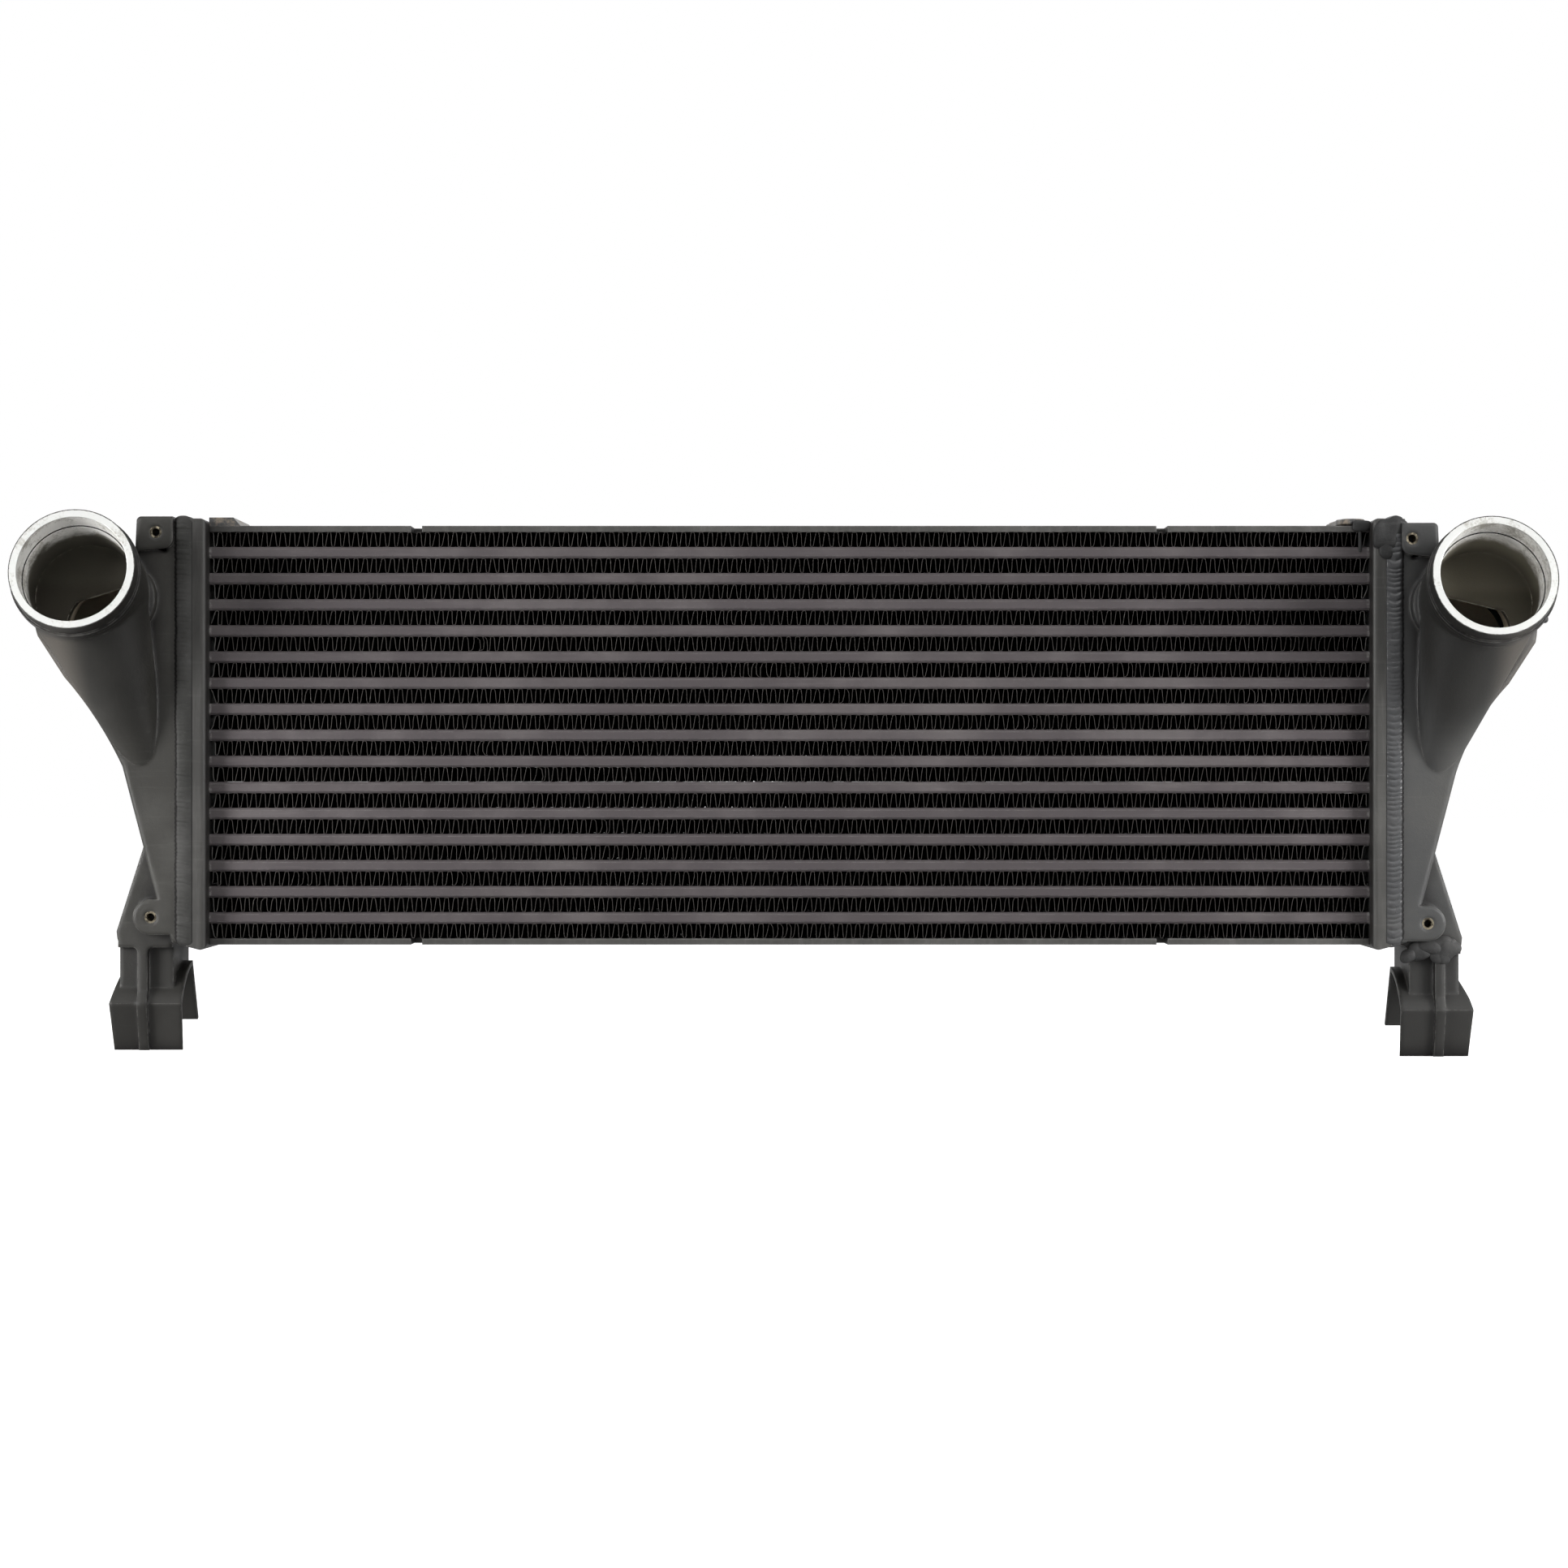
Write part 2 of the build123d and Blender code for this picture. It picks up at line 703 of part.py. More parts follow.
save(inserts.part, "threaded_inserts")


# ---------------------------------------------------------------- welds
def tank_weld(side):
    """The bead round the seam between the pan's rim and the tank's rim."""
    blank = rim_block(side, -weld_lap, weld_edge, weld_proud, tank_half_depth + weld_proud)
    inside = rim_block(side, -weld_lap - cut, weld_edge + cut, 0, tank_half_depth)
    with BuildPart() as bead:
        add(blank)
        ends = bead.faces().sort_by(Axis.X)
        chamfer(ends[0].edges() + ends[-1].edges(), weld_bevel)
        add(inside, mode=Mode.SUBTRACT)
    return bead.part


def corner_weld(side):
    """The build-up that ties the top side plate to the header's face."""
    base = core_top + braze_gap
    face = header_face - braze_gap
    with BuildPart() as lump:
        with BuildSketch(Plane.XZ):
            with BuildLine():
                Polyline(
                    (side * face, base),
                    (side * face, base + corner_weld_height),
                    (side * (face - corner_weld_top_length), base + corner_weld_height),
                    (side * (face - corner_weld_length), base),
                    close=True,
                )
            make_face()
        extrude(amount=tube_depth / 2, both=True)
    return lump.part


with BuildPart() as foot_weld:
    joint_width = leg_width - right_foot_shift
    with BuildSketch(Plane.XZ.offset(gusset_face)):
        with Locations(spot(1, leg_outboard + right_foot_shift / 2, leg_top)):
            Rectangle(joint_width, foot_weld_height)
    extrude(amount=foot_weld_proud)
    chamfer(foot_weld.faces().sort_by(Axis.Y)[0].edges(), weld_bevel)

save(tank_weld(-1), "left_tank_weld")
save(tank_weld(1), "right_tank_weld")
save(corner_weld(-1), "left_corner_weld")
save(corner_weld(1), "right_corner_weld")
save(foot_weld.part, "right_foot_weld")
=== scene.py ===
"""A wide tube-and-fin intercooler with two cast end tanks, dressed on its CAD frame.

Lengths are in metres.  X runs across the car, Y from front (negative) to back, Z up,
and the origin is the middle of the core.
"""
import json
import math

import bpy
import numpy as np
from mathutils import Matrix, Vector


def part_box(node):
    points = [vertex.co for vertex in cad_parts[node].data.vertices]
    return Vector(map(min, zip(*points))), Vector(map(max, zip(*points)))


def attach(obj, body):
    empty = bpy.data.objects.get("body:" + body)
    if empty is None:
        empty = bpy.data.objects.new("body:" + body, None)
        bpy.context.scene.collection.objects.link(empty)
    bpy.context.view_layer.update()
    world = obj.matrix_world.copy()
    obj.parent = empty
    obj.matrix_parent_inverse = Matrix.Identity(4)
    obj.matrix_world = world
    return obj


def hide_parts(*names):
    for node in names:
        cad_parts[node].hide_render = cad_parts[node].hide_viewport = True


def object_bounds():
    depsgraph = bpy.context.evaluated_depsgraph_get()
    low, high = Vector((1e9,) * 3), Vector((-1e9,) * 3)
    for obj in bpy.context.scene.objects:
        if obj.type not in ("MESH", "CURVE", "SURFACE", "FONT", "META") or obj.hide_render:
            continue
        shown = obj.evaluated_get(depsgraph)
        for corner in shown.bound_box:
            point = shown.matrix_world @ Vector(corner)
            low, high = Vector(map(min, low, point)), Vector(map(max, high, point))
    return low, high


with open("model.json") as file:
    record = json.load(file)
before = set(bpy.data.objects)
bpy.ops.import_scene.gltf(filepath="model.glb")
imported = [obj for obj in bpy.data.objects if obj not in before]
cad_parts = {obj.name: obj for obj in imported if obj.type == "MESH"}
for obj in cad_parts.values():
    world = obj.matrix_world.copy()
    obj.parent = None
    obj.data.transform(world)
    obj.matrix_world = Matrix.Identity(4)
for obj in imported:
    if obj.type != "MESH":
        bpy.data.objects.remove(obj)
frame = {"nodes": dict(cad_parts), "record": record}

cad_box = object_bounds()
mm = 0.001

# ---------------------------------------------------------------- charge tubes
# Fifteen flat extruded aluminium tubes, brazed into the header plates.  They are
# sprayed with the whole core in thin satin black, which wears grey on the noses.
tube_nodes = sorted(name for name in frame["nodes"] if name.startswith("charge_tube"))
core_colour = (0.063, 0.0545, 0.0570, 1)
core_dust_colour = (0.125, 0.112, 0.112, 1)
worn_paint_colour = (0.230, 0.222, 0.215, 1)
paint_reflects = 0.3        # specular level of every sprayed surface
nose_wear = 0.7 * mm
flux_reach = (2.2 * mm, 0.8 * mm)       # the braze's flux shows this close to the header


def add(tree, kind, values=None, **settings):
    """Adds a node; a value that is a socket is linked, any other is set."""
    made = tree.nodes.new(kind)
    for key, value in settings.items():
        setattr(made, key, value)
    for key, value in (values or {}).items():
        if isinstance(value, bpy.types.NodeSocket):
            tree.links.new(value, made.inputs[key])
        else:
            made.inputs[key].default_value = value
    return made


def maths(tree, operation, first, second=0.0):
    return add(tree, "ShaderNodeMath", {0: first, 1: second}, operation=operation).outputs[0]


def product(tree, first, second):
    return maths(tree, "MULTIPLY", first, second)


def larger(tree, first, second):
    return maths(tree, "MAXIMUM", first, second)


def weighted(tree, start, *parts):
    """The start plus each part's value times its share."""
    for value, share in parts:
        start = maths(tree, "ADD", start, product(tree, value, share))
    return start


def ramp(tree, value, low, high, out_low=0.0, out_high=1.0):
    """A smooth step of value from low to high."""
    values = {
        "Value": value, "From Min": low, "From Max": high, "To Min": out_low, "To Max": out_high,
    }
    return add(tree, "ShaderNodeMapRange", values, interpolation_type="SMOOTHSTEP").outputs[0]


def mix(tree, factor, first, second):
    """The first colour, turned into the second by a factor."""
    made = add(tree, "ShaderNodeMix", {0: factor, 6: first, 7: second}, data_type="RGBA")
    return made.outputs[2]


def mix_value(tree, factor, first, second):
    return add(tree, "ShaderNodeMix", {0: factor, 2: first, 3: second}).outputs[0]


def vector_maths(tree, operation, first, second=None):
    """A vector operation; its result is a number for dot products and lengths."""
    values = {0: first} if second is None else {0: first, 1: second}
    made = add(tree, "ShaderNodeVectorMath", values, operation=operation)
    return made.outputs["Value" if operation in ("DOT_PRODUCT", "LENGTH") else "Vector"]


def noise(tree, where, scale, detail=3.0, rough=0.55):
    values = {"Vector": where, "Scale": scale, "Detail": detail, "Roughness": rough}
    return add(tree, "ShaderNodeTexNoise", values).outputs[0]


def position(tree):
    return add(tree, "ShaderNodeTexCoord").outputs["Object"]


def axes(tree, place):
    return add(tree, "ShaderNodeSeparateXYZ", {0: place}).outputs


def stretched(tree, place, scale):
    """The place, scaled axis by axis, for marks that run one way."""
    return add(tree, "ShaderNodeMapping", {"Vector": place, "Scale": scale}).outputs[0]


def group(name, inputs, outputs):
    """A shader group with these sockets; returns its tree, its inputs and its output sockets."""
    tree = bpy.data.node_groups.new(name, "ShaderNodeTree")
    for direction, sockets in (("INPUT", inputs), ("OUTPUT", outputs)):
        for label, kind in sockets.items():
            tree.interface.new_socket(label, in_out=direction, socket_type="NodeSocket" + kind)
    ins, outs = tree.nodes.new("NodeGroupInput"), tree.nodes.new("NodeGroupOutput")
    return tree, ins.outputs, outs.inputs


def apply_group(tree, shared, **values):
    """Adds a shared group, its inputs given by name; returns its outputs."""
    made = tree.nodes.new("ShaderNodeGroup")
    made.node_tree = shared
    for key, value in values.items():
        if isinstance(value, bpy.types.NodeSocket):
            tree.links.new(value, made.inputs[key])
        else:
            made.inputs[key].default_value = value
    return made.outputs


def material(name, reflects=0.5):
    """A new material with its Principled shader; returns the material, its tree and the shader."""
    made = bpy.data.materials.new(name)
    made.use_nodes = True
    shader = made.node_tree.nodes["Principled BSDF"]
    shader.inputs["Specular IOR Level"].default_value = reflects
    return made, made.node_tree, shader


def bump(tree, height, strength, distance, normal=None):
    """Relief by a height, on the true normal or on a given one."""
    values = {"Height": height, "Strength": strength, "Distance": distance}
    if normal is not None:
        values["Normal"] = normal
    return add(tree, "ShaderNodeBump", values).outputs[0]


def wire(tree, shader, colour, rough, normal):
    """Links a material's colour, roughness and normal."""
    tree.links.new(colour, shader.inputs["Base Color"])
    tree.links.new(rough, shader.inputs["Roughness"])
    tree.links.new(normal, shader.inputs["Normal"])


def dress(obj, finish):
    """Gives an object one material."""
    obj.data.materials.clear()
    obj.data.materials.append(finish)


# Sprayed paint: cloudy dust, fine speckle, drag marks and an orange-peel film
cloud_scale, speckle_scale, film_scale, cast_scale = 14.0, 900.0, 420.0, 1300.0
drag_stretch = (6.0, 60.0, 90.0)
paint, paint_in, paint_out = group(
    "SprayedPaint",
    {"Paint": "Color", "Dust": "Color", "Grain": "Float"},
    {"Color": "Color", "Roughness": "Float", "Height": "Float"},
)
place = position(paint)
cloud = noise(paint, place, cloud_scale, 5.0, 0.6)
speckle = noise(paint, place, speckle_scale, 2.0, 0.7)
drag = noise(paint, stretched(paint, place, drag_stretch), 3.0, 4.0, 0.65)
dusty = weighted(
    paint, 0.0,
    (ramp(paint, cloud, 0.42, 0.72), 0.55),
    (ramp(paint, drag, 0.55, 0.75), 0.25),
    (ramp(paint, speckle, 0.60, 0.80), 0.35),
)
film = noise(paint, place, film_scale, 3.0, 0.6)
cast = noise(paint, place, cast_scale, 4.0, 0.75)
paint.links.new(mix(paint, dusty, paint_in["Paint"], paint_in["Dust"]), paint_out["Color"])
paint.links.new(weighted(paint, 0.36, (cloud, 0.18), (dusty, 0.20)), paint_out["Roughness"])
paint.links.new(weighted(paint, 0.0, (film, 0.5), (cast, paint_in["Grain"])), paint_out["Height"])

# Edges that rubbing has thinned, found by rounding the normal a little; on the tanks the same mask
# also lays a painted highlight along the edges
edges, edges_in, edges_out = group(
    "EdgeWearAndHighlight", {"Width": "Float"}, {"Mask": "Float", "Normal": "Vector"},
)
rounded = add(edges, "ShaderNodeBevel", {"Radius": edges_in["Width"]}, samples=6).outputs[0]
flat = add(edges, "ShaderNodeNewGeometry").outputs["True Normal"]
sharp = ramp(edges, vector_maths(edges, "DOT_PRODUCT", rounded, flat), 0.995, 0.90)
patchy = ramp(edges, noise(edges, position(edges), 160.0, 4.0, 0.7), 0.38, 0.62)
edges.links.new(product(edges, sharp, patchy), edges_out["Mask"])
edges.links.new(rounded, edges_out["Normal"])

tube_paint, tree, shader = material("tube_paint", paint_reflects)
coat = apply_group(tree, paint, Paint=core_colour, Dust=core_dust_colour, Grain=0.15)
worn = apply_group(tree, edges, Width=nose_wear)
colour = mix(tree, product(tree, worn["Mask"], 0.7), coat["Color"], worn_paint_colour)
place = position(tree)
reach = maths(tree, "ABSOLUTE", axes(tree, place)["X"])
header_face = min(abs(corner[0]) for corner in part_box("right_header"))
flux = ramp(tree, reach, header_face - flux_reach[0], header_face - flux_reach[1])
flux = product(tree, flux, ramp(tree, noise(tree, place, 260.0, 4.0, 0.7), 0.45, 0.65, 0.1, 0.8))
colour = mix(tree, flux, colour, worn_paint_colour)
relief = bump(tree, coat["Height"], 0.35, 0.2 * mm, worn["Normal"])
wire(tree, shader, colour, coat["Roughness"], relief)
for name in tube_nodes:
    dress(frame["nodes"][name], tube_paint)

# ---------------------------------------------------------------- turbulators
# A thin corrugated foil brazed inside each tube.  It is bare and out of sight, dull
# from the furnace.
foil_colour = (0.55, 0.55, 0.54, 1)
foil_stain_colour = (0.36, 0.35, 0.33, 1)

foil, tree, shader = material("turbulator_foil")
place = position(tree)
stain = noise(tree, place, 220.0, 4.0)
colour = mix(tree, ramp(tree, stain, 0.4, 0.7), foil_colour, foil_stain_colour)
rough = ramp(tree, stain, 0.3, 0.8, 0.35, 0.6)
wire(tree, shader, colour, rough, bump(tree, noise(tree, place, 2400.0), 0.2, 0.1 * mm))
shader.inputs["Metallic"].default_value = 1.0
for name, node in frame["nodes"].items():
    if name.startswith("turbulator"):
        dress(node, foil)

# ---------------------------------------------------------------- air fins
# Sixteen strips of thin foil, folded into tall narrow loops and louvred, brazed between
# the tubes.  The spray reaches their front edges, which handling has bent and worn; deeper in, the
# foil is painted near-black as shade.
fin_nodes = sorted(name for name in frame["nodes"] if name.startswith("outer_fin"))
fin_waves = 128
fin_points = 14             # along one wave
fin_foil = 0.28 * mm
fin_sway = 2.4 * mm         # the legs wander this far sideways through the depth
fin_depth_steps = np.array([0.0, 0.05, 0.22, 0.42, 0.62, 0.82, 1.0])
fin_sway_shape = np.array([0.0, 0.12, 0.9, -0.1, -1.0, -0.1, 0.6])
fin_bend_shape = np.array([1.0, 0.55, 0.0, 0.0, 0.0, 0.0, 0.0])
fin_corner = 2.7            # how squarely a leg turns into its crest
fin_bias = 0.16             # the upper crests are this much wider than the lower ones
fin_drift = 0.035           # how unevenly the waves are spaced, in waves
fin_lean, fin_lean_spread = 0.03, 0.03      # sideways at a crest, in waves
fin_short = 0.02            # the shortest wave misses the tubes by this share of its reach
crushed_waves = 0.9         # how far in from a header the fins are squashed
crushed_lean_spread = 0.13
crushed_short = 0.10
knocks = 5                  # dented places in one strip
knock_depth = 0.8 * mm
bend_depth = 0.08 * mm
fin_shade_colour = (0.0035, 0.0033, 0.0032, 1)
fin_edge_colour = (0.072, 0.066, 0.063, 1)
fin_bright_colour = (0.26, 0.25, 0.24, 1)
fin_shade_depth = (0.3 * mm, 1.0 * mm)


def mesh_object(name, points, faces):
    """A mesh from a point array and a list of faces, shaded smooth, that rides on the root."""
    mesh = bpy.data.meshes.new(name)
    mesh.from_pydata(points.reshape(-1, 3).tolist(), [], faces)
    mesh.polygons.foreach_set("use_smooth", np.ones(len(mesh.polygons), dtype=bool))
    mesh.update()
    made = bpy.data.objects.new(name, mesh)
    bpy.context.scene.collection.objects.link(made)
    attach(made, "root")
    return made


def grid_faces(index):
    """Quads between neighbours of a 2-D array of vertex numbers."""
    corners = (index[:-1, :-1], index[1:, :-1], index[1:, 1:], index[:-1, 1:])
    return np.stack([c.ravel() for c in corners], axis=1)


def fin_strip(name, seed):
    """A closed ribbon of foil.  Along the row it goes up and down as the hyperbolic tangent of
    a biased sine, clipped to the gap, and it is carried back through the core with a
    sideways sway.  Each wave leans and shifts a little, a few are knocked over, and the
    waves next to the headers are crushed.
    """
    low, high = (np.array(corner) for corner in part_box(name))
    rng = np.random.default_rng(seed)
    steps = fin_waves * fin_points
    s = np.linspace(0.0, fin_waves, steps + 1)
    wave = np.minimum(s.astype(int), fin_waves - 1)
    pitch = (high[0] - low[0] - 2 * fin_foil) / fin_waves
    jitter = np.cumsum(rng.normal(0.0, fin_drift, fin_waves + 1))
    jitter -= np.linspace(jitter[0], jitter[-1], fin_waves + 1)
    swing = np.sin(2 * math.pi * (s + rng.uniform(0, 1)))
    steep = math.tanh(fin_corner * (1 - fin_bias))
    shape = np.clip(np.tanh(fin_corner * (swing + fin_bias)) / steep, -1, 1)
    from_end = np.minimum(s, fin_waves - s)
    near_end = np.exp(-from_end / crushed_waves)
    lean = rng.normal(fin_lean, fin_lean_spread, fin_waves)[wave]
    lean = lean + rng.normal(0, crushed_lean_spread, fin_waves)[wave] * near_end
    x = s + np.interp(s, np.arange(fin_waves + 1), jitter)
    x = low[0] + fin_foil + pitch * (x + lean * shape)
    half = (high[2] - low[2]) / 2 - fin_foil / 2
    reach = 1 - fin_short * rng.random(fin_waves)[wave]
    reach = reach - crushed_short * near_end * rng.random(fin_waves)[wave]
    z = (low[2] + high[2]) / 2 + half * shape * reach
    line = np.stack([x, z], axis=1)
    along = np.gradient(line, axis=0)
    along /= np.linalg.norm(along, axis=1, keepdims=True)
    across = np.stack([-along[:, 1], along[:, 0]], axis=1) * fin_foil / 2
    sides = np.stack([line + across, line - across])
    depth = low[1] + (high[1] - low[1]) * fin_depth_steps
    bend = rng.normal(0.0, bend_depth, fin_waves)[wave] * (1 + 3 * near_end)
    centres, widths = rng.uniform(0, fin_waves, (knocks, 1)), rng.uniform(0.5, 1.6, (knocks, 1))
    knock = rng.normal(0, knock_depth, (knocks, 1)) * np.exp(-((s - centres) / widths) ** 2)
    crest = 1 - np.abs(shape) ** 6
    room = np.clip(from_end, 0, 1)
    shift = np.outer((bend + knock.sum(axis=0)) * crest, fin_bend_shape)
    shift = shift + np.outer(room * fin_sway, fin_sway_shape)
    points = np.empty((2, steps + 1, len(depth), 3))
    points[..., 0] = np.clip(sides[:, :, None, 0] + shift, low[0], high[0])
    points[..., 1] = depth
    points[..., 2] = np.clip(sides[:, :, None, 1], low[2], high[2])
    index = np.arange(2 * (steps + 1) * len(depth)).reshape(2, steps + 1, len(depth))
    faces = [
        grid_faces(index[0]),
        grid_faces(index[1, ::-1]),
        grid_faces(index[:, :, 0]),
        grid_faces(index[::-1, :, -1]),
        grid_faces(index[::-1, 0, :]),
        grid_faces(index[:, -1, :]),
    ]
    piece = name.replace("outer_fin", "fin_strip")
    return mesh_object(piece, points, np.concatenate(faces).tolist())


fin_finish, tree, shader = material("fin_finish", 0.0)
place = position(tree)
where = axes(tree, place)
fin_corner_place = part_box(fin_nodes[0])[0]
depth_in = maths(tree, "SUBTRACT", where["Y"], fin_corner_place[1])
reach_in = maths(tree, "SUBTRACT", abs(fin_corner_place[0]), maths(tree, "ABSOLUTE", where["X"]))
rub = noise(tree, place, 170.0, 4.0, 0.7)
# Painted shade: behind about the front millimetre the foil turns near-black
coat_shade_blend = ramp(tree, weighted(tree, depth_in, (rub, 0.8 * mm)), *fin_shade_depth, 1.0, 0.0)
bright = product(tree, ramp(tree, rub, 0.60, 0.80, 0.0, 0.6),
                 ramp(tree, depth_in, 0.2 * mm, 1.2 * mm, 1.0, 0.0))
crushed = product(tree, ramp(tree, reach_in, 2 * mm, 10 * mm, 1.0, 0.0),
                  ramp(tree, depth_in, 0.5 * mm, 2 * mm, 0.25, 0.0))
colour = mix(tree, coat_shade_blend, fin_shade_colour, fin_edge_colour)
colour = mix(tree, larger(tree, bright, crushed), colour, fin_bright_colour)
rough = ramp(tree, rub, 0.3, 0.7, 0.42, 0.62)
wire(tree, shader, colour, rough, bump(tree, noise(tree, place, 1800.0), 0.3, 0.1 * mm))

for number, name in enumerate(fin_nodes):
    strip = fin_strip(name, 40 + number)
    dress(strip, fin_finish)
    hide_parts(name)

# ---------------------------------------------------------------- side plates and header pans
# Flat aluminium bars close the stack above and below, and a pressed pan takes the tube
# ends on each side.  All are sprayed with the core; the pans' bent edges are rubbed grey.
pan_colour = (0.050, 0.049, 0.046, 1)
pan_dust_colour = (0.105, 0.103, 0.096, 1)
# Near-black painted shade, laid in crevices, along the pans' core-side faces, over their left half
# and along the welds' edges
painted_shade_colour = (0.006, 0.005, 0.005, 1)
brush_stretch = (160.0, 160.0, 14.0)    # the pans are brushed up and down
edge_wear = 1.2 * mm
pan_shade_reach = 10 * mm

# Painted shade: darker where the surface is shut in by what is round it
crevice, crevice_in, crevice_out = group("CreviceShade", {"Reach": "Float"}, {"Mask": "Float"})
open_sky = add(crevice, "ShaderNodeAmbientOcclusion", {"Distance": crevice_in["Reach"]}, samples=8)
crevice.links.new(ramp(crevice, open_sky.outputs["AO"], 0.35, 0.92, 1.0, 0.0), crevice_out["Mask"])

pan_paint, tree, shader = material("pan_paint", paint_reflects)
coat = apply_group(tree, paint, Paint=pan_colour, Dust=pan_dust_colour, Grain=0.2)
worn = apply_group(tree, edges, Width=edge_wear)
place = position(tree)
brushed = noise(tree, stretched(tree, place, brush_stretch), 2.0, 4.0, 0.7)
colour = mix(tree, ramp(tree, brushed, 0.45, 0.8, 0.0, 0.16), coat["Color"], worn_paint_colour)
colour = mix(tree, product(tree, worn["Mask"], 0.55), colour, worn_paint_colour)
crevice_shade = apply_group(tree, crevice, Reach=pan_shade_reach)["Mask"]
sideways = axes(tree, place)["X"]
# Painted shade: the pans and side plates darker towards the left end, for the weaker light there
colour = mix(tree, ramp(tree, sideways, -header_face, 0.0, 0.32, 0.0), colour, painted_shade_colour)
reach = maths(tree, "ABSOLUTE", sideways)
shaded = product(
    tree,
    ramp(tree, reach, header_face - 0.6 * mm, header_face - 0.2 * mm),
    ramp(tree, reach, header_face + 0.2 * mm, header_face + 1.0 * mm, 0.8, 0.0),
)
# Painted shade in the pans' crevices and in a thin band along their core-side faces
colour = mix(tree, larger(tree, product(tree, crevice_shade, 0.75), shaded), colour, painted_shade_colour)
relief = bump(tree, coat["Height"], 0.4, 0.3 * mm, worn["Normal"])
wire(tree, shader, colour, coat["Roughness"], relief)
for name in ("top_side_plate", "bottom_side_plate", "left_header", "right_header"):
    dress(frame["nodes"][name], pan_paint)

# ---------------------------------------------------------------- end tanks and the separate foot
# Sand-cast aluminium, sprayed satin black.  The port's face and bore are machined after
# the spray, so they are bare and bright; the passage behind them is dusty and brown.
port_tilt = math.radians(16.2)
port_axis = Vector((0.0, -math.cos(port_tilt), math.sin(port_tilt)))
mount_places = {m["name"]: Vector(m["pos_m"]) for m in frame["record"]["mounts"]}
spigot_half_length = 5.0 * mm
bore_radius = 33.3 * mm
spigot_radius = 38.1 * mm
machined_depth = 27.0 * mm
mouth_light_depth = (18.0 * mm, 70.0 * mm)    # painted light inside the mouth fades out between these
chamber_depth = 52.0 * mm
neck_depth = 45.0 * mm
collar_radius, collar_depth = 44.0 * mm, 12.0 * mm
tool_marks = 9000.0                     # radians of tool mark to a metre
# The tank paint in lit and shaded copies: the left darker for the weaker light on that side, the
# right lighter
left_tank_shaded_colour, right_tank_lit_colour = (0.0245, 0.0235, 0.0205, 1), (0.046, 0.0465, 0.0460, 1)
tank_dust_colour = (0.070, 0.068, 0.062, 1)
# Painted shade for the ducts' forward parts and the feet's lower parts
forward_and_low_shade_colour = (0.0145, 0.0138, 0.0122, 1)
# Painted highlight for the ducts' outer sides
flank_highlight_colour = (0.098, 0.088, 0.076, 1)
tank_rubbed_and_highlight_colour = (0.150, 0.145, 0.135, 1)
bare_colour = (0.56, 0.565, 0.55, 1)
bare_dirt_colour = (0.36, 0.35, 0.32, 1)
bore_colour = (0.95, 0.94, 0.91, 1)
bore_stain_colour = (0.42, 0.40, 0.36, 1)
left_passage_colour, right_passage_colour = (0.030, 0.026, 0.019, 1), (0.062, 0.055, 0.040, 1)
# Painted light inside each port's mouth, lighter on the right for the stronger light there
left_mouth_light_colour, right_mouth_light_colour = (0.085, 0.080, 0.065, 1), (0.200, 0.185, 0.145, 1)
chamber_colour = (0.75, 0.66, 0.52, 1)
lip_highlight_colour = (0.45, 0.42, 0.36, 1)
cast_round, port_round = 4.0 * mm, 0.6 * mm
tank_shade_reach = 14 * mm
duct_shade_front = (-64 * mm, -42 * mm)       # painted shade: the ducts forward of this are darker
foot_shade_top = (-142 * mm, -118 * mm)       # the feet below this take the same painted shade
flank_highlight_reach = (424 * mm, 446 * mm)      # a painted highlight lightens the ducts' outer sides
flank_highlight_top, flank_highlight_bottom = (56 * mm, 68 * mm), (-50 * mm, 20 * mm)

# Where a tank is machined, from the distance along and away from the port's axis
port_masks = ("Face", "Bore", "Passage", "Mouth", "Chamber", "Near", "Marks", "Stain")
port_work, port_in, port_out = group(
    "PortWork", {"Centre": "Vector"}, {label: "Float" for label in port_masks},
)
place = position(port_work)
offset = vector_maths(port_work, "SUBTRACT", place, port_in["Centre"])
behind = product(port_work, vector_maths(port_work, "DOT_PRODUCT", offset, tuple(port_axis)), -1.0)
square = maths(
    port_work, "SUBTRACT",
    maths(port_work, "POWER", vector_maths(port_work, "LENGTH", offset), 2.0),
    maths(port_work, "POWER", behind, 2.0),
)
radius = maths(port_work, "SQRT", larger(port_work, square, 0.0))
smear = noise(port_work, place, 60.0, 5.0, 0.65)
fine = noise(port_work, place, 700.0, 3.0, 0.6)
face = product(
    port_work,
    ramp(port_work, behind, 0.5 * mm, 0.8 * mm, 1.0, 0.0),
    ramp(port_work, weighted(port_work, radius, (fine, 0.7 * mm)),
         spigot_radius - 0.4 * mm, spigot_radius - 0.1 * mm, 1.0, 0.0),
)
# The tank's outer skin faces away from the middle of the neck, and only inner walls face it
from_neck = vector_maths(port_work, "ADD", offset, tuple(port_axis * neck_depth))
facing = add(port_work, "ShaderNodeNewGeometry").outputs["True Normal"]
outward = vector_maths(port_work, "DOT_PRODUCT", facing, from_neck)
inside = ramp(port_work, radius, bore_radius + 0.2 * mm, bore_radius + 0.4 * mm, 1.0, 0.0)
inside = product(port_work, inside, maths(port_work, "LESS_THAN", outward, 0.0))
ragged = weighted(port_work, behind, (maths(port_work, "SUBTRACT", smear, 0.5), 16 * mm))
bore = ramp(port_work, ragged, machined_depth - 9 * mm, machined_depth + 4 * mm, 1.0, 0.0)
bore = product(port_work, product(port_work, inside, bore), ramp(port_work, behind, -1 * mm, 0.0))
passage = product(port_work, inside, ramp(port_work, behind, 0.0, 1 * mm))
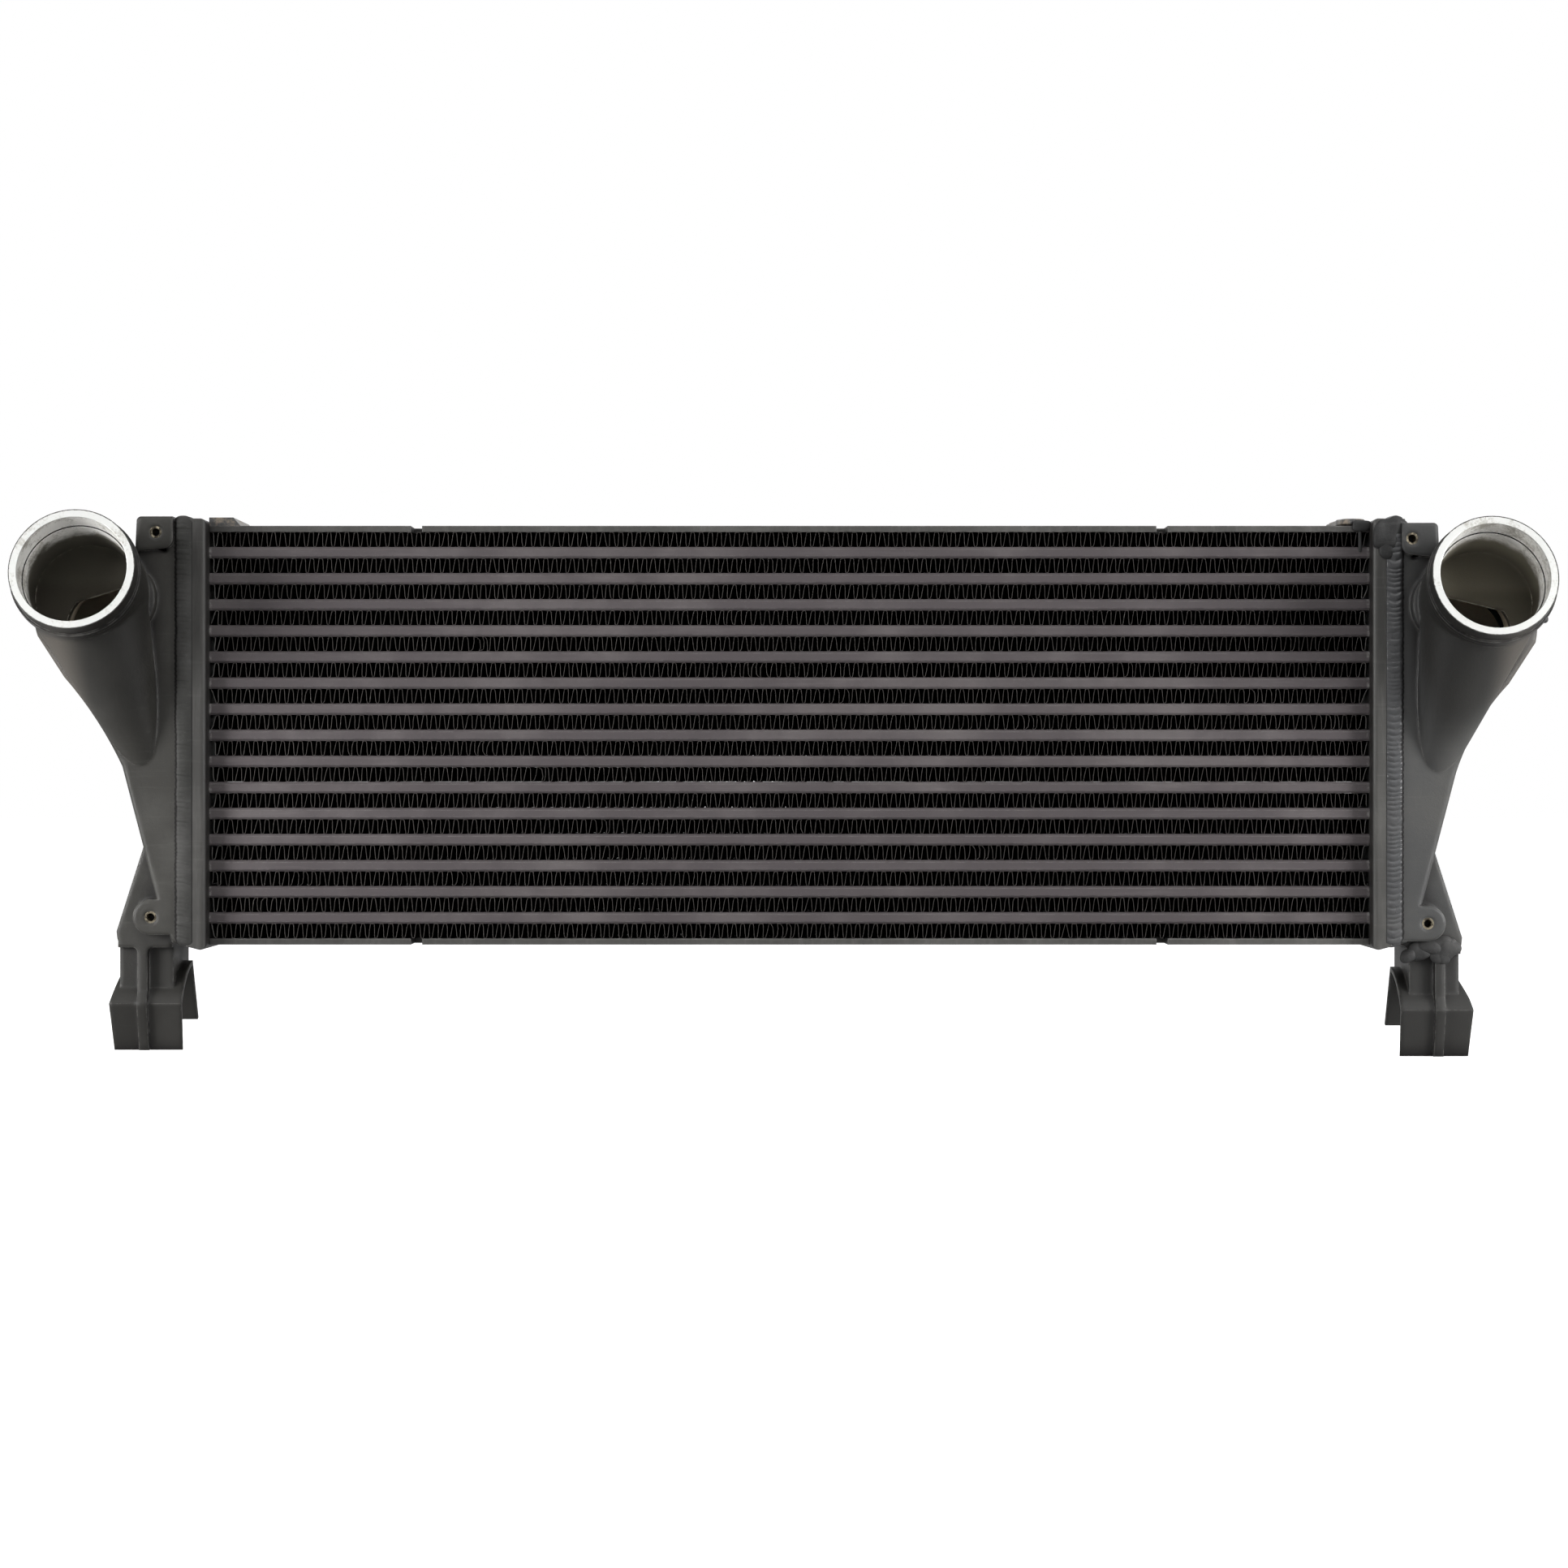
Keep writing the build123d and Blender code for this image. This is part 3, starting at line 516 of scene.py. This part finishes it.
near = product(
    port_work,
    ramp(port_work, radius, collar_radius - 1 * mm, collar_radius + 1 * mm, 1.0, 0.0),
    ramp(port_work, behind, collar_depth - 1 * mm, collar_depth + 1 * mm, 1.0, 0.0),
)
turned = product(port_work, maths(port_work, "ADD", radius, behind), tool_marks)
for label, mask in (
    ("Face", face),
    ("Bore", bore),
    ("Passage", passage),
    ("Mouth", ramp(port_work, behind, *mouth_light_depth, 1.0, 0.0)),
    ("Chamber", ramp(port_work, behind, chamber_depth, chamber_depth + 4 * mm)),
    ("Near", near),
    ("Marks", weighted(port_work, fine, (maths(port_work, "SINE", turned), 0.25))),
    ("Stain", weighted(port_work, 0.0, (smear, 0.7), (fine, 0.3))),
):
    port_work.links.new(mask, port_out[label])


def tank_finish(name, centre, coat_and_side_light_colour, passage_colour, mouth_light_colour):
    """Cast and sprayed aluminium, bare where the port at this centre is machined."""
    finish, tree, shader = material(name, paint_reflects)
    coat = apply_group(tree, paint, Paint=coat_and_side_light_colour, Dust=tank_dust_colour, Grain=0.6)
    work = apply_group(tree, port_work, Centre=tuple(centre))
    crevice_shade = apply_group(tree, crevice, Reach=tank_shade_reach)["Mask"]
    worn = apply_group(tree, edges, Width=edge_wear)["Mask"]
    where = axes(tree, position(tree))
    height = where["Z"]

    # Painted shade: the ducts' forward parts and the feet's lower parts are darker
    duct = ramp(tree, where["Y"], *duct_shade_front, 0.85, 0.0)
    foot = ramp(tree, height, *foot_shade_top, 0.75, 0.0)
    # Painted highlight on the ducts' outer sides, below the collars
    flank_highlight = ramp(tree, maths(tree, "ABSOLUTE", where["X"]), *flank_highlight_reach, 0.0, 0.62)
    flank_highlight = product(tree, flank_highlight, ramp(tree, height, *flank_highlight_top, 1.0, 0.0))
    flank_highlight = product(tree, flank_highlight, ramp(tree, height, *flank_highlight_bottom))
    coat_shade_blend = mix(tree, larger(tree, duct, foot), coat["Color"], forward_and_low_shade_colour)
    coat_shade_blend = mix(tree, flank_highlight, coat_shade_blend, flank_highlight_colour)
    # Painted shade in the tank's crevices
    coat_shade_blend = mix(tree, product(tree, crevice_shade, 0.92), coat_shade_blend, painted_shade_colour)
    # Rubbed edges, lighter partly as real wear and partly as painted highlight
    coat_shade_blend = mix(tree, product(tree, worn, 0.65), coat_shade_blend, tank_rubbed_and_highlight_colour)

    lower = ramp(tree, height, centre.z - 12 * mm, centre.z - 2 * mm, 1.0, 0.1)
    # Painted shade: the port's lower inside, outside the chamber, turns to the dark passage colour
    low_inside_shade = product(tree, lower, maths(tree, "SUBTRACT", 0.8, work["Chamber"]))
    # Painted light near the mouth, fading into the passage colour deeper in
    inner = mix(tree, work["Mouth"], passage_colour, mouth_light_colour)
    inner = mix(tree, work["Chamber"], inner, chamber_colour)
    inner = mix(tree, low_inside_shade, inner, passage_colour)
    # Painted highlight on the inside's lower edges, where the passage opens into the chamber
    inner = mix(tree, product(tree, worn, lower), inner, lip_highlight_colour)

    stain = work["Stain"]
    bored = mix(tree, ramp(tree, stain, 0.45, 0.64), bore_colour, bore_stain_colour)
    faced = mix(tree, ramp(tree, stain, 0.52, 0.66), bare_colour, bare_dirt_colour)
    colour = mix(tree, work["Passage"], coat_shade_blend, inner)
    colour = mix(tree, work["Bore"], colour, bored)
    colour = mix(tree, work["Face"], colour, faced)

    machined = larger(tree, work["Bore"], work["Face"])
    tree.links.new(product(tree, machined, 0.3), shader.inputs["Metallic"])
    rough = larger(tree, coat["Roughness"], product(tree, work["Passage"], 0.85))
    rough = mix_value(tree, machined, rough, ramp(tree, stain, 0.3, 0.7, 0.30, 0.52))
    film = mix_value(tree, machined, coat["Height"], product(tree, work["Marks"], 0.3))
    radius = mix_value(tree, work["Near"], cast_round, port_round)
    rounded = add(tree, "ShaderNodeBevel", {"Radius": radius}, samples=8).outputs[0]
    wire(tree, shader, colour, rough, bump(tree, film, 0.55, 0.3 * mm, rounded))
    return finish


for side, coat_and_side_light_colour, passage_colour, mouth_light_colour in (
    ("left", left_tank_shaded_colour, left_passage_colour, left_mouth_light_colour),
    ("right", right_tank_lit_colour, right_passage_colour, right_mouth_light_colour),
):
    centre = mount_places[side + "_hose_spigot"] + port_axis * spigot_half_length
    finish = tank_finish(
        side + "_tank_finish", centre, coat_and_side_light_colour, passage_colour, mouth_light_colour,
    )
    dress(frame["nodes"][side + "_tank"], finish)
# The foot has no port, so its port's centre lies far off
far_off = Vector((1.0, 0.0, 0.0))
foot_finish = tank_finish(
    "right_foot_finish", far_off, right_tank_lit_colour, right_passage_colour, right_mouth_light_colour,
)
dress(frame["nodes"]["right_foot"], foot_finish)

# ---------------------------------------------------------------- threaded inserts
# Four plated steel thread inserts, pressed flush into the lugs and bosses before the
# spray and wiped clean after it.
insert_colour = (0.42, 0.37, 0.27, 1)
insert_dirt_colour = (0.060, 0.052, 0.040, 1)
thread_pitch = 1.0 * mm

insert_metal, tree, shader = material("insert_metal")
place = position(tree)
dirt = ramp(tree, noise(tree, place, 320.0, 4.0), 0.36, 0.58)
colour = mix(tree, dirt, insert_colour, insert_dirt_colour)
turn = product(tree, axes(tree, place)["Y"], 2 * math.pi / thread_pitch)
thread = bump(tree, maths(tree, "SINE", turn), 0.8, 0.3 * mm)
wire(tree, shader, colour, ramp(tree, dirt, 0.0, 1.0, 0.25, 0.5), thread)
shader.inputs["Metallic"].default_value = 1.0
dress(frame["nodes"]["threaded_inserts"], insert_metal)

# ---------------------------------------------------------------- tank welds
# Each tank is TIG welded to its pan all round.  The filler was laid down in small dabs,
# so the bead is a row of crescents, and the spray lies glossier on it.
ripple_pitches = {-1: 2.9 * mm, 1: 3.5 * mm}
ripple_points = 7
ripple_bow = 0.55                       # how far a crescent's middle runs ahead, in dabs
bead_points = 15
bead_height = 1.9 * mm
bead_sink = 0.4 * mm
bead_corner = 3.0 * mm
bead_edges = (8.0 * mm, 19.6 * mm)      # outboard of the pan's core-side face
bead_powers = (1.8, 4.0)                # how square its section is by the pan, by the tank
scallops = (0.90, 0.07)                 # its half width towards the tank, and how it swells
valley_power = 1.5
dab_spread = 0.10                       # how unequal the dabs are
wander_knots, wander_spread = 150, 0.12     # how often and how far the hand strays
wander_reach = 0.09                     # of half the bead's width
hurry_knots, hurry_spread = 90, 0.35    # how often and how far it hurries, in dabs
rim_slope = 0.26                        # the pan's lower rim rises outboard
# The beads' paint in lit and shaded copies: the left darker for the weaker light on that side
left_weld_shaded_colour = (0.027, 0.027, 0.025, 1)
right_weld_lit_colour = (0.062, 0.063, 0.065, 1)
dark_weld_colour = (0.022, 0.022, 0.022, 1)
weld_dust_colour = (0.095, 0.093, 0.090, 1)
# How deep the ripples are cut at each height
left_ripples = (
    (-0.13, -0.04, 0.02, 0.13),
    (0.20, 0.20, 0.05, 0.09),
)
right_ripples = (
    (-0.13, 0.00, 0.02, 0.06, 0.08, 0.112, 0.12),
    (0.62, 0.62, 0.20, 0.15, 0.60, 0.60, 0.05),
)


def bead(name, side, ripples, seed):
    """A closed bead carried round the pan's rim.  Its height is one less a power of the distance
    across it, larger towards the tank, and is cut by crescent valleys, one to a dab.  The
    valleys bow with the square of the distance across.
    """
    rng = np.random.default_rng(seed)
    pan_low, pan_high = (np.array(corner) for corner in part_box(name.replace("tank_weld", "header")))
    top, half, bottom = pan_high[2], pan_high[1], pan_low[2]
    pan_face = min(abs(pan_low[0]), abs(pan_high[0]))
    edges_x = pan_face + np.array(bead_edges)
    middle_x, half_x = edges_x.mean(), (edges_x[1] - edges_x[0]) / 2
    tall = top - bottom
    wide, high = half * 2 - 2 * bead_corner, tall - 2 * bead_corner
    turn = math.pi / 2 * bead_corner
    total = 2 * (wide + high) + 4 * turn
    pitch = ripple_pitches[side]
    count = int(round(total / pitch)) * ripple_points
    s = np.arange(count) * total / count
    # The seam: a rounded rectangle from the middle of the top, clockwise from the front
    runs = np.cumsum([0, wide / 2, turn, high, turn, wide, turn, high, turn, wide / 2])
    angle = np.interp(s, runs, np.radians([90, 90, 0, 0, -90, -90, -180, -180, -270, -270]))
    heading = angle - math.pi / 2
    step = total / count
    y = np.cumsum(np.cos(heading)) * step
    z = np.cumsum(np.sin(heading)) * step
    y -= (y.max() + y.min()) / 2
    z += top - z.max()
    out = np.stack([np.cos(angle), np.sin(angle)], axis=1)
    u = np.linspace(-1, 1, bead_points)
    strays = rng.normal(0, wander_spread, wander_knots)
    wander = np.interp(s, np.linspace(0, total, wander_knots), strays)
    knots = np.linspace(0, total, hurry_knots)
    hurry = rng.normal(0, hurry_spread, hurry_knots) * (knots > 0) * (knots < total)
    dab = np.maximum(s / pitch + np.interp(s, knots, hurry), 0)
    size = rng.normal(1.0, dab_spread, int(dab.max()) + 2)[np.floor(dab).astype(int)]
    phase = dab[:, None] - side * ripple_bow * (u ** 2)[None, :]
    valley = (1 - np.abs(np.sin(math.pi * phase))) ** valley_power
    profile = 1 - np.abs(u) ** np.where(u > 0, bead_powers[1], bead_powers[0])
    dip = np.interp(z, *ripples)[:, None]
    height = bead_height * profile[None, :] * (1 - dip * valley) * size[:, None]
    scallop = scallops[0] + scallops[1] * np.abs(np.sin(math.pi * dab))
    spread = u[None, :] * np.where(u > 0, scallop[:, None], 0.95)
    x = middle_x + half_x * (spread + wander_reach * wander[:, None] * (1 + u))
    x = np.clip(x, edges_x[0], edges_x[1])
    # Two more rows close the bead below the surface
    x = np.concatenate([x, x[:, -1:], x[:, :1]], axis=1)
    height = np.concatenate([height, np.full((count, 2), -bead_sink)], axis=1)
    share = np.clip((top - z) / tall, 0, 1)[:, None]
    rise = rim_slope * (x - pan_face) * share
    points = np.empty(x.shape + (3,))
    points[..., 0] = side * x
    points[..., 1] = np.clip(y[:, None] + out[:, :1] * height, cad_box[0][1], cad_box[1][1])
    points[..., 2] = np.minimum(z[:, None] + out[:, 1:] * height + rise, cad_box[1][2])
    index = np.arange(count * x.shape[1]).reshape(count, x.shape[1])
    index = np.concatenate([index, index[:1]])
    index = np.concatenate([index, index[:, :1]], axis=1)
    if side > 0:
        index = index[::-1]
    made = mesh_object(name.replace("weld", "bead"), points, grid_faces(index).tolist())
    seam = np.zeros(x.shape, dtype=np.float32)
    seam[:, :bead_points] = u
    seam[:, -2:] = 1.0, -1.0
    across = made.data.attributes.new("across", "FLOAT", "POINT")
    across.data.foreach_set("value", seam.ravel())
    return made


def weld_finish(name, coat_and_side_light_colour, shine):
    """Sprayed filler: glossier than the casting by shine, with painted shade along its edges."""
    finish, tree, shader = material(name, 0.25)
    place = position(tree)
    coat = apply_group(tree, paint, Paint=coat_and_side_light_colour, Dust=weld_dust_colour, Grain=0.1)
    across = add(tree, "ShaderNodeAttribute", attribute_name="across").outputs["Fac"]
    # Painted shade along the bead's edges, wide and ragged on the tank side
    edge_shade = ramp(tree, weighted(tree, across, (noise(tree, place, 120.0), 0.3)), 0.72, 0.96)
    edge_shade = larger(tree, edge_shade, ramp(tree, across, -0.98, -0.82, 0.8, 0.0))
    colour = mix(tree, product(tree, edge_shade, 0.9), coat["Color"], painted_shade_colour)
    rough = larger(tree, maths(tree, "SUBTRACT", coat["Roughness"], shine), edge_shade)
    lumpy = weighted(tree, coat["Height"], (noise(tree, place, 300.0, 3.0), 2.0))
    wire(tree, shader, colour, rough, bump(tree, lumpy, 0.4, 0.4 * mm))
    return finish


for side, label, coat_and_side_light_colour, shine, ripples in (
    (-1, "left", left_weld_shaded_colour, -0.22, left_ripples),
    (1, "right", right_weld_lit_colour, 0.20, right_ripples),
):
    ring = bead(label + "_tank_weld", side, ripples, 7 + side)
    dress(ring, weld_finish(label + "_weld_paint", coat_and_side_light_colour, shine))
    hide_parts(label + "_tank_weld")

# ---------------------------------------------------------------- built-up welds
# Lumps of filler tie the top plate to the pans, the lugs to the tanks, and the separate
# right foot to its gusset.  They were dressed roughly and sprayed over.
sanded_colour = (0.20, 0.165, 0.125, 1)
filler_colour = (0.040, 0.040, 0.040, 1)
lump_turns, lump_rises = 64, 32
lump_wave = 3.4 * mm        # how slow the swellings are
# The low and high corners of each small lump
drip_boxes = [
    ((0.3500, -0.0310, 0.1260), (0.3630, -0.0260, 0.1345)),
    ((0.3538, -0.0300, 0.1130), (0.3562, -0.0270, 0.1290)),
    ((0.3595, -0.0430, 0.1140), (0.3830, -0.0340, 0.1358)),
    ((0.3640, -0.0420, 0.1090), (0.3740, -0.0370, 0.1230)),
]
fillet_boxes = [
    ((-0.3990, -0.0270, 0.1115), (-0.3820, -0.0120, 0.1185)),
    ((0.3810, -0.0270, 0.1075), (0.3980, -0.0120, 0.1150)),
]
nub_boxes = [((0.4530, -0.0935, 0.0665), (0.4578, -0.0885, 0.0715))]
# The foot's weld, in millimetres: each blob's x, z, half width and half depth
foot_front = -28
foot_flat = 0.8             # a blob's height over its width
foot_blobs = (
    (386, -136.5, 6.5, 2.4),
    (392, -134.5, 8.0, 2.7),
    (398, -132.5, 9.5, 2.8),
    (405, -132.0, 9.0, 3.2),
    (410, -133.0, 8.0, 2.9),
    (402, -137.0, 6.5, 2.6),
    (412, -130.5, 6.0, 2.6),
    (408, -138.0, 6.0, 2.2),
)


def lumps(piece, boxes, squareness, rough, seed):
    """Rounded blocks, one to a box.  Each axis of a ball is raised to the power of squareness,
    scaled to the box, and pulled in by a sum of slow waves.
    """
    rng = np.random.default_rng(seed)
    around = np.arange(lump_turns) * 2 * math.pi / lump_turns
    up = (np.arange(lump_rises) + 0.5) / lump_rises * math.pi - math.pi / 2
    ball = np.stack([
        np.cos(up)[:, None] * np.cos(around),
        np.cos(up)[:, None] * np.sin(around),
        np.repeat(np.sin(up)[:, None], lump_turns, axis=1),
    ], axis=-1)
    tip = lump_rises * lump_turns
    index = np.arange(tip).reshape(lump_rises, lump_turns)
    index = np.concatenate([index, index[:, :1]], axis=1)
    south, north = np.full(lump_turns, tip), np.full(lump_turns, tip + 1)
    faces = grid_faces(index)[:, ::-1].tolist()
    faces += np.stack([south, index[0, 1:], index[0, :-1]], axis=1).tolist()
    faces += np.stack([north, index[-1, :-1], index[-1, 1:]], axis=1).tolist()
    points, shells = [], []
    for number, (low, high) in enumerate(boxes):
        low, high = np.array(low), np.array(high)
        offset = np.sign(ball) * np.abs(ball) ** squareness * (high - low) / 2
        waves = rng.normal(0, 1, (4, 3)) / lump_wave
        swell = np.sin(offset @ waves.T + rng.uniform(0, 6, 4)).mean(axis=-1)
        block = (low + high) / 2 + offset * (1 - rough * (0.5 + swell))[..., None]
        points += [block.reshape(-1, 3), block[0].mean(axis=0)[None], block[-1].mean(axis=0)[None]]
        shells += [[corner + number * (tip + 2) for corner in face] for face in faces]
    return mesh_object(piece, np.concatenate(points), shells)


sanded, tree, shader = material("sanded_weld")
place = position(tree)
coat = apply_group(tree, paint, Paint=filler_colour, Dust=weld_dust_colour, Grain=0.1)
rubbed = ramp(tree, noise(tree, place, 210.0, 4.0, 0.65), 0.40, 0.66)
colour = mix(tree, rubbed, coat["Color"], sanded_colour)
rough = ramp(tree, rubbed, 0.0, 1.0, 0.35, 0.5)
wire(tree, shader, colour, rough, bump(tree, noise(tree, place, 500.0, 4.0), 0.5, 0.6 * mm))
tree.links.new(product(tree, rubbed, 0.4), shader.inputs["Metallic"])
dark_weld_paint = weld_finish("dark_weld_paint", dark_weld_colour, -0.12)

foot_boxes = [
    (
        ((x - wide) * mm, (foot_front - deep) * mm, (z - foot_flat * wide) * mm),
        ((x + wide) * mm, (foot_front + deep) * mm, (z + foot_flat * wide) * mm),
    )
    for x, z, wide, deep in foot_blobs
]
dress(frame["nodes"]["left_corner_weld"], sanded)
corner = lumps("right_corner_lump", [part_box("right_corner_weld")], 0.35, 0.14, 4)
dress(corner, sanded)
dress(lumps("right_pan_drips", drip_boxes, 0.62, 0.22, 6), dark_weld_paint)
foot_lump = lumps("right_foot_lump", foot_boxes, 0.9, 0.42, 5)
dress(foot_lump, dark_weld_paint)
for made, name in ((corner, "right_corner_weld"), (foot_lump, "right_foot_weld")):
    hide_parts(name)
dress(lumps("lug_fillets", fillet_boxes, 0.8, 0.10, 9), dark_weld_paint)
dress(lumps("right_collar_nub", nub_boxes, 0.9, 0.1, 8), dark_weld_paint)

# ---------------------------------------------------------------- the studio
# A white floor and a white backdrop under plain soft light, with the camera level in
# front of the core.
floor_level = cad_box[0][2]
floor_span = 12.0
floor_colour = (0.9, 0.9, 0.9, 1)
floor_seen = 0.90           # the camera sees the floor this much brighter than its light
room_light = 0.15           # what the white surroundings give to matt surfaces
camera_place = (0.0063, -2.0285, -0.0273)
picture_width = 1932
focal_pixels = 3960.4
axis_pixel = (985, 960)     # where the camera's axis meets the picture
sensor_width = 36.0         # in millimetres

floor_mesh = bpy.data.meshes.new("floor")
floor_corners = [
    (x * floor_span, y * floor_span, floor_level) for x, y in ((-1, -1), (1, -1), (1, 1), (-1, 1))
]
floor_mesh.from_pydata(floor_corners, [], [(0, 1, 2, 3)])
floor = bpy.data.objects.new("floor", floor_mesh)
bpy.context.scene.collection.objects.link(floor)
floor_white, tree, shader = material("floor_white", 0.0)
shader.inputs["Base Color"].default_value = floor_colour
shader.inputs["Roughness"].default_value = 0.9
rays = add(tree, "ShaderNodeLightPath").outputs
shader.inputs["Emission Color"].default_value = (1, 1, 1, 1)
glow = product(tree, rays["Is Camera Ray"], floor_seen)
tree.links.new(glow, shader.inputs["Emission Strength"])
dress(floor, floor_white)

world = bpy.data.worlds.new("studio")
bpy.context.scene.world = world
world.use_nodes = True
tree = world.node_tree
rays = add(tree, "ShaderNodeLightPath").outputs
seen = larger(tree, rays["Is Camera Ray"], rays["Is Glossy Ray"])
seen = larger(tree, seen, rays["Is Transmission Ray"])
tree.nodes["Background"].inputs["Color"].default_value = (1, 1, 1, 1)
tree.links.new(larger(tree, seen, room_light), tree.nodes["Background"].inputs["Strength"])


def soft_light(name, place, aim, size, power, spread=180):
    """A square soft box at a place, turned towards a point, gridded down to a spread in degrees."""
    lamp = bpy.data.lights.new(name, "AREA")
    lamp.size = size
    lamp.energy = power
    lamp.spread = math.radians(spread)
    made = bpy.data.objects.new(name, lamp)
    bpy.context.scene.collection.objects.link(made)
    made.location = place
    made.rotation_euler = (Vector(aim) - Vector(place)).to_track_quat("-Z", "Y").to_euler()


soft_light("key", (0.1, -1.4, 1.9), (0, 0, 0), 1.4, 17)
soft_light("left", (-1.35, -0.65, 0.14), (-0.46, 0, 0.04), 0.6, 3.0, 50)
soft_light("right", (1.35, -0.65, 0.20), (0.46, 0, 0.04), 0.6, 2.8, 50)
soft_light("rim", (0.2, 1.2, 1.5), (0, 0, 0), 1.4, 6)

camera_data = bpy.data.cameras.new("camera")
camera = bpy.data.objects.new("camera", camera_data)
bpy.context.scene.collection.objects.link(camera)
camera.location = camera_place
camera.rotation_euler = (math.pi / 2, 0, 0)
camera_data.sensor_width = sensor_width
camera_data.lens = sensor_width * focal_pixels / picture_width
camera_data.shift_x = (picture_width / 2 - axis_pixel[0]) / picture_width
camera_data.shift_y = (axis_pixel[1] - picture_width / 2) / picture_width
camera_data.clip_end = 60
bpy.context.scene.camera = camera
bpy.context.scene.view_settings.view_transform = "Standard"
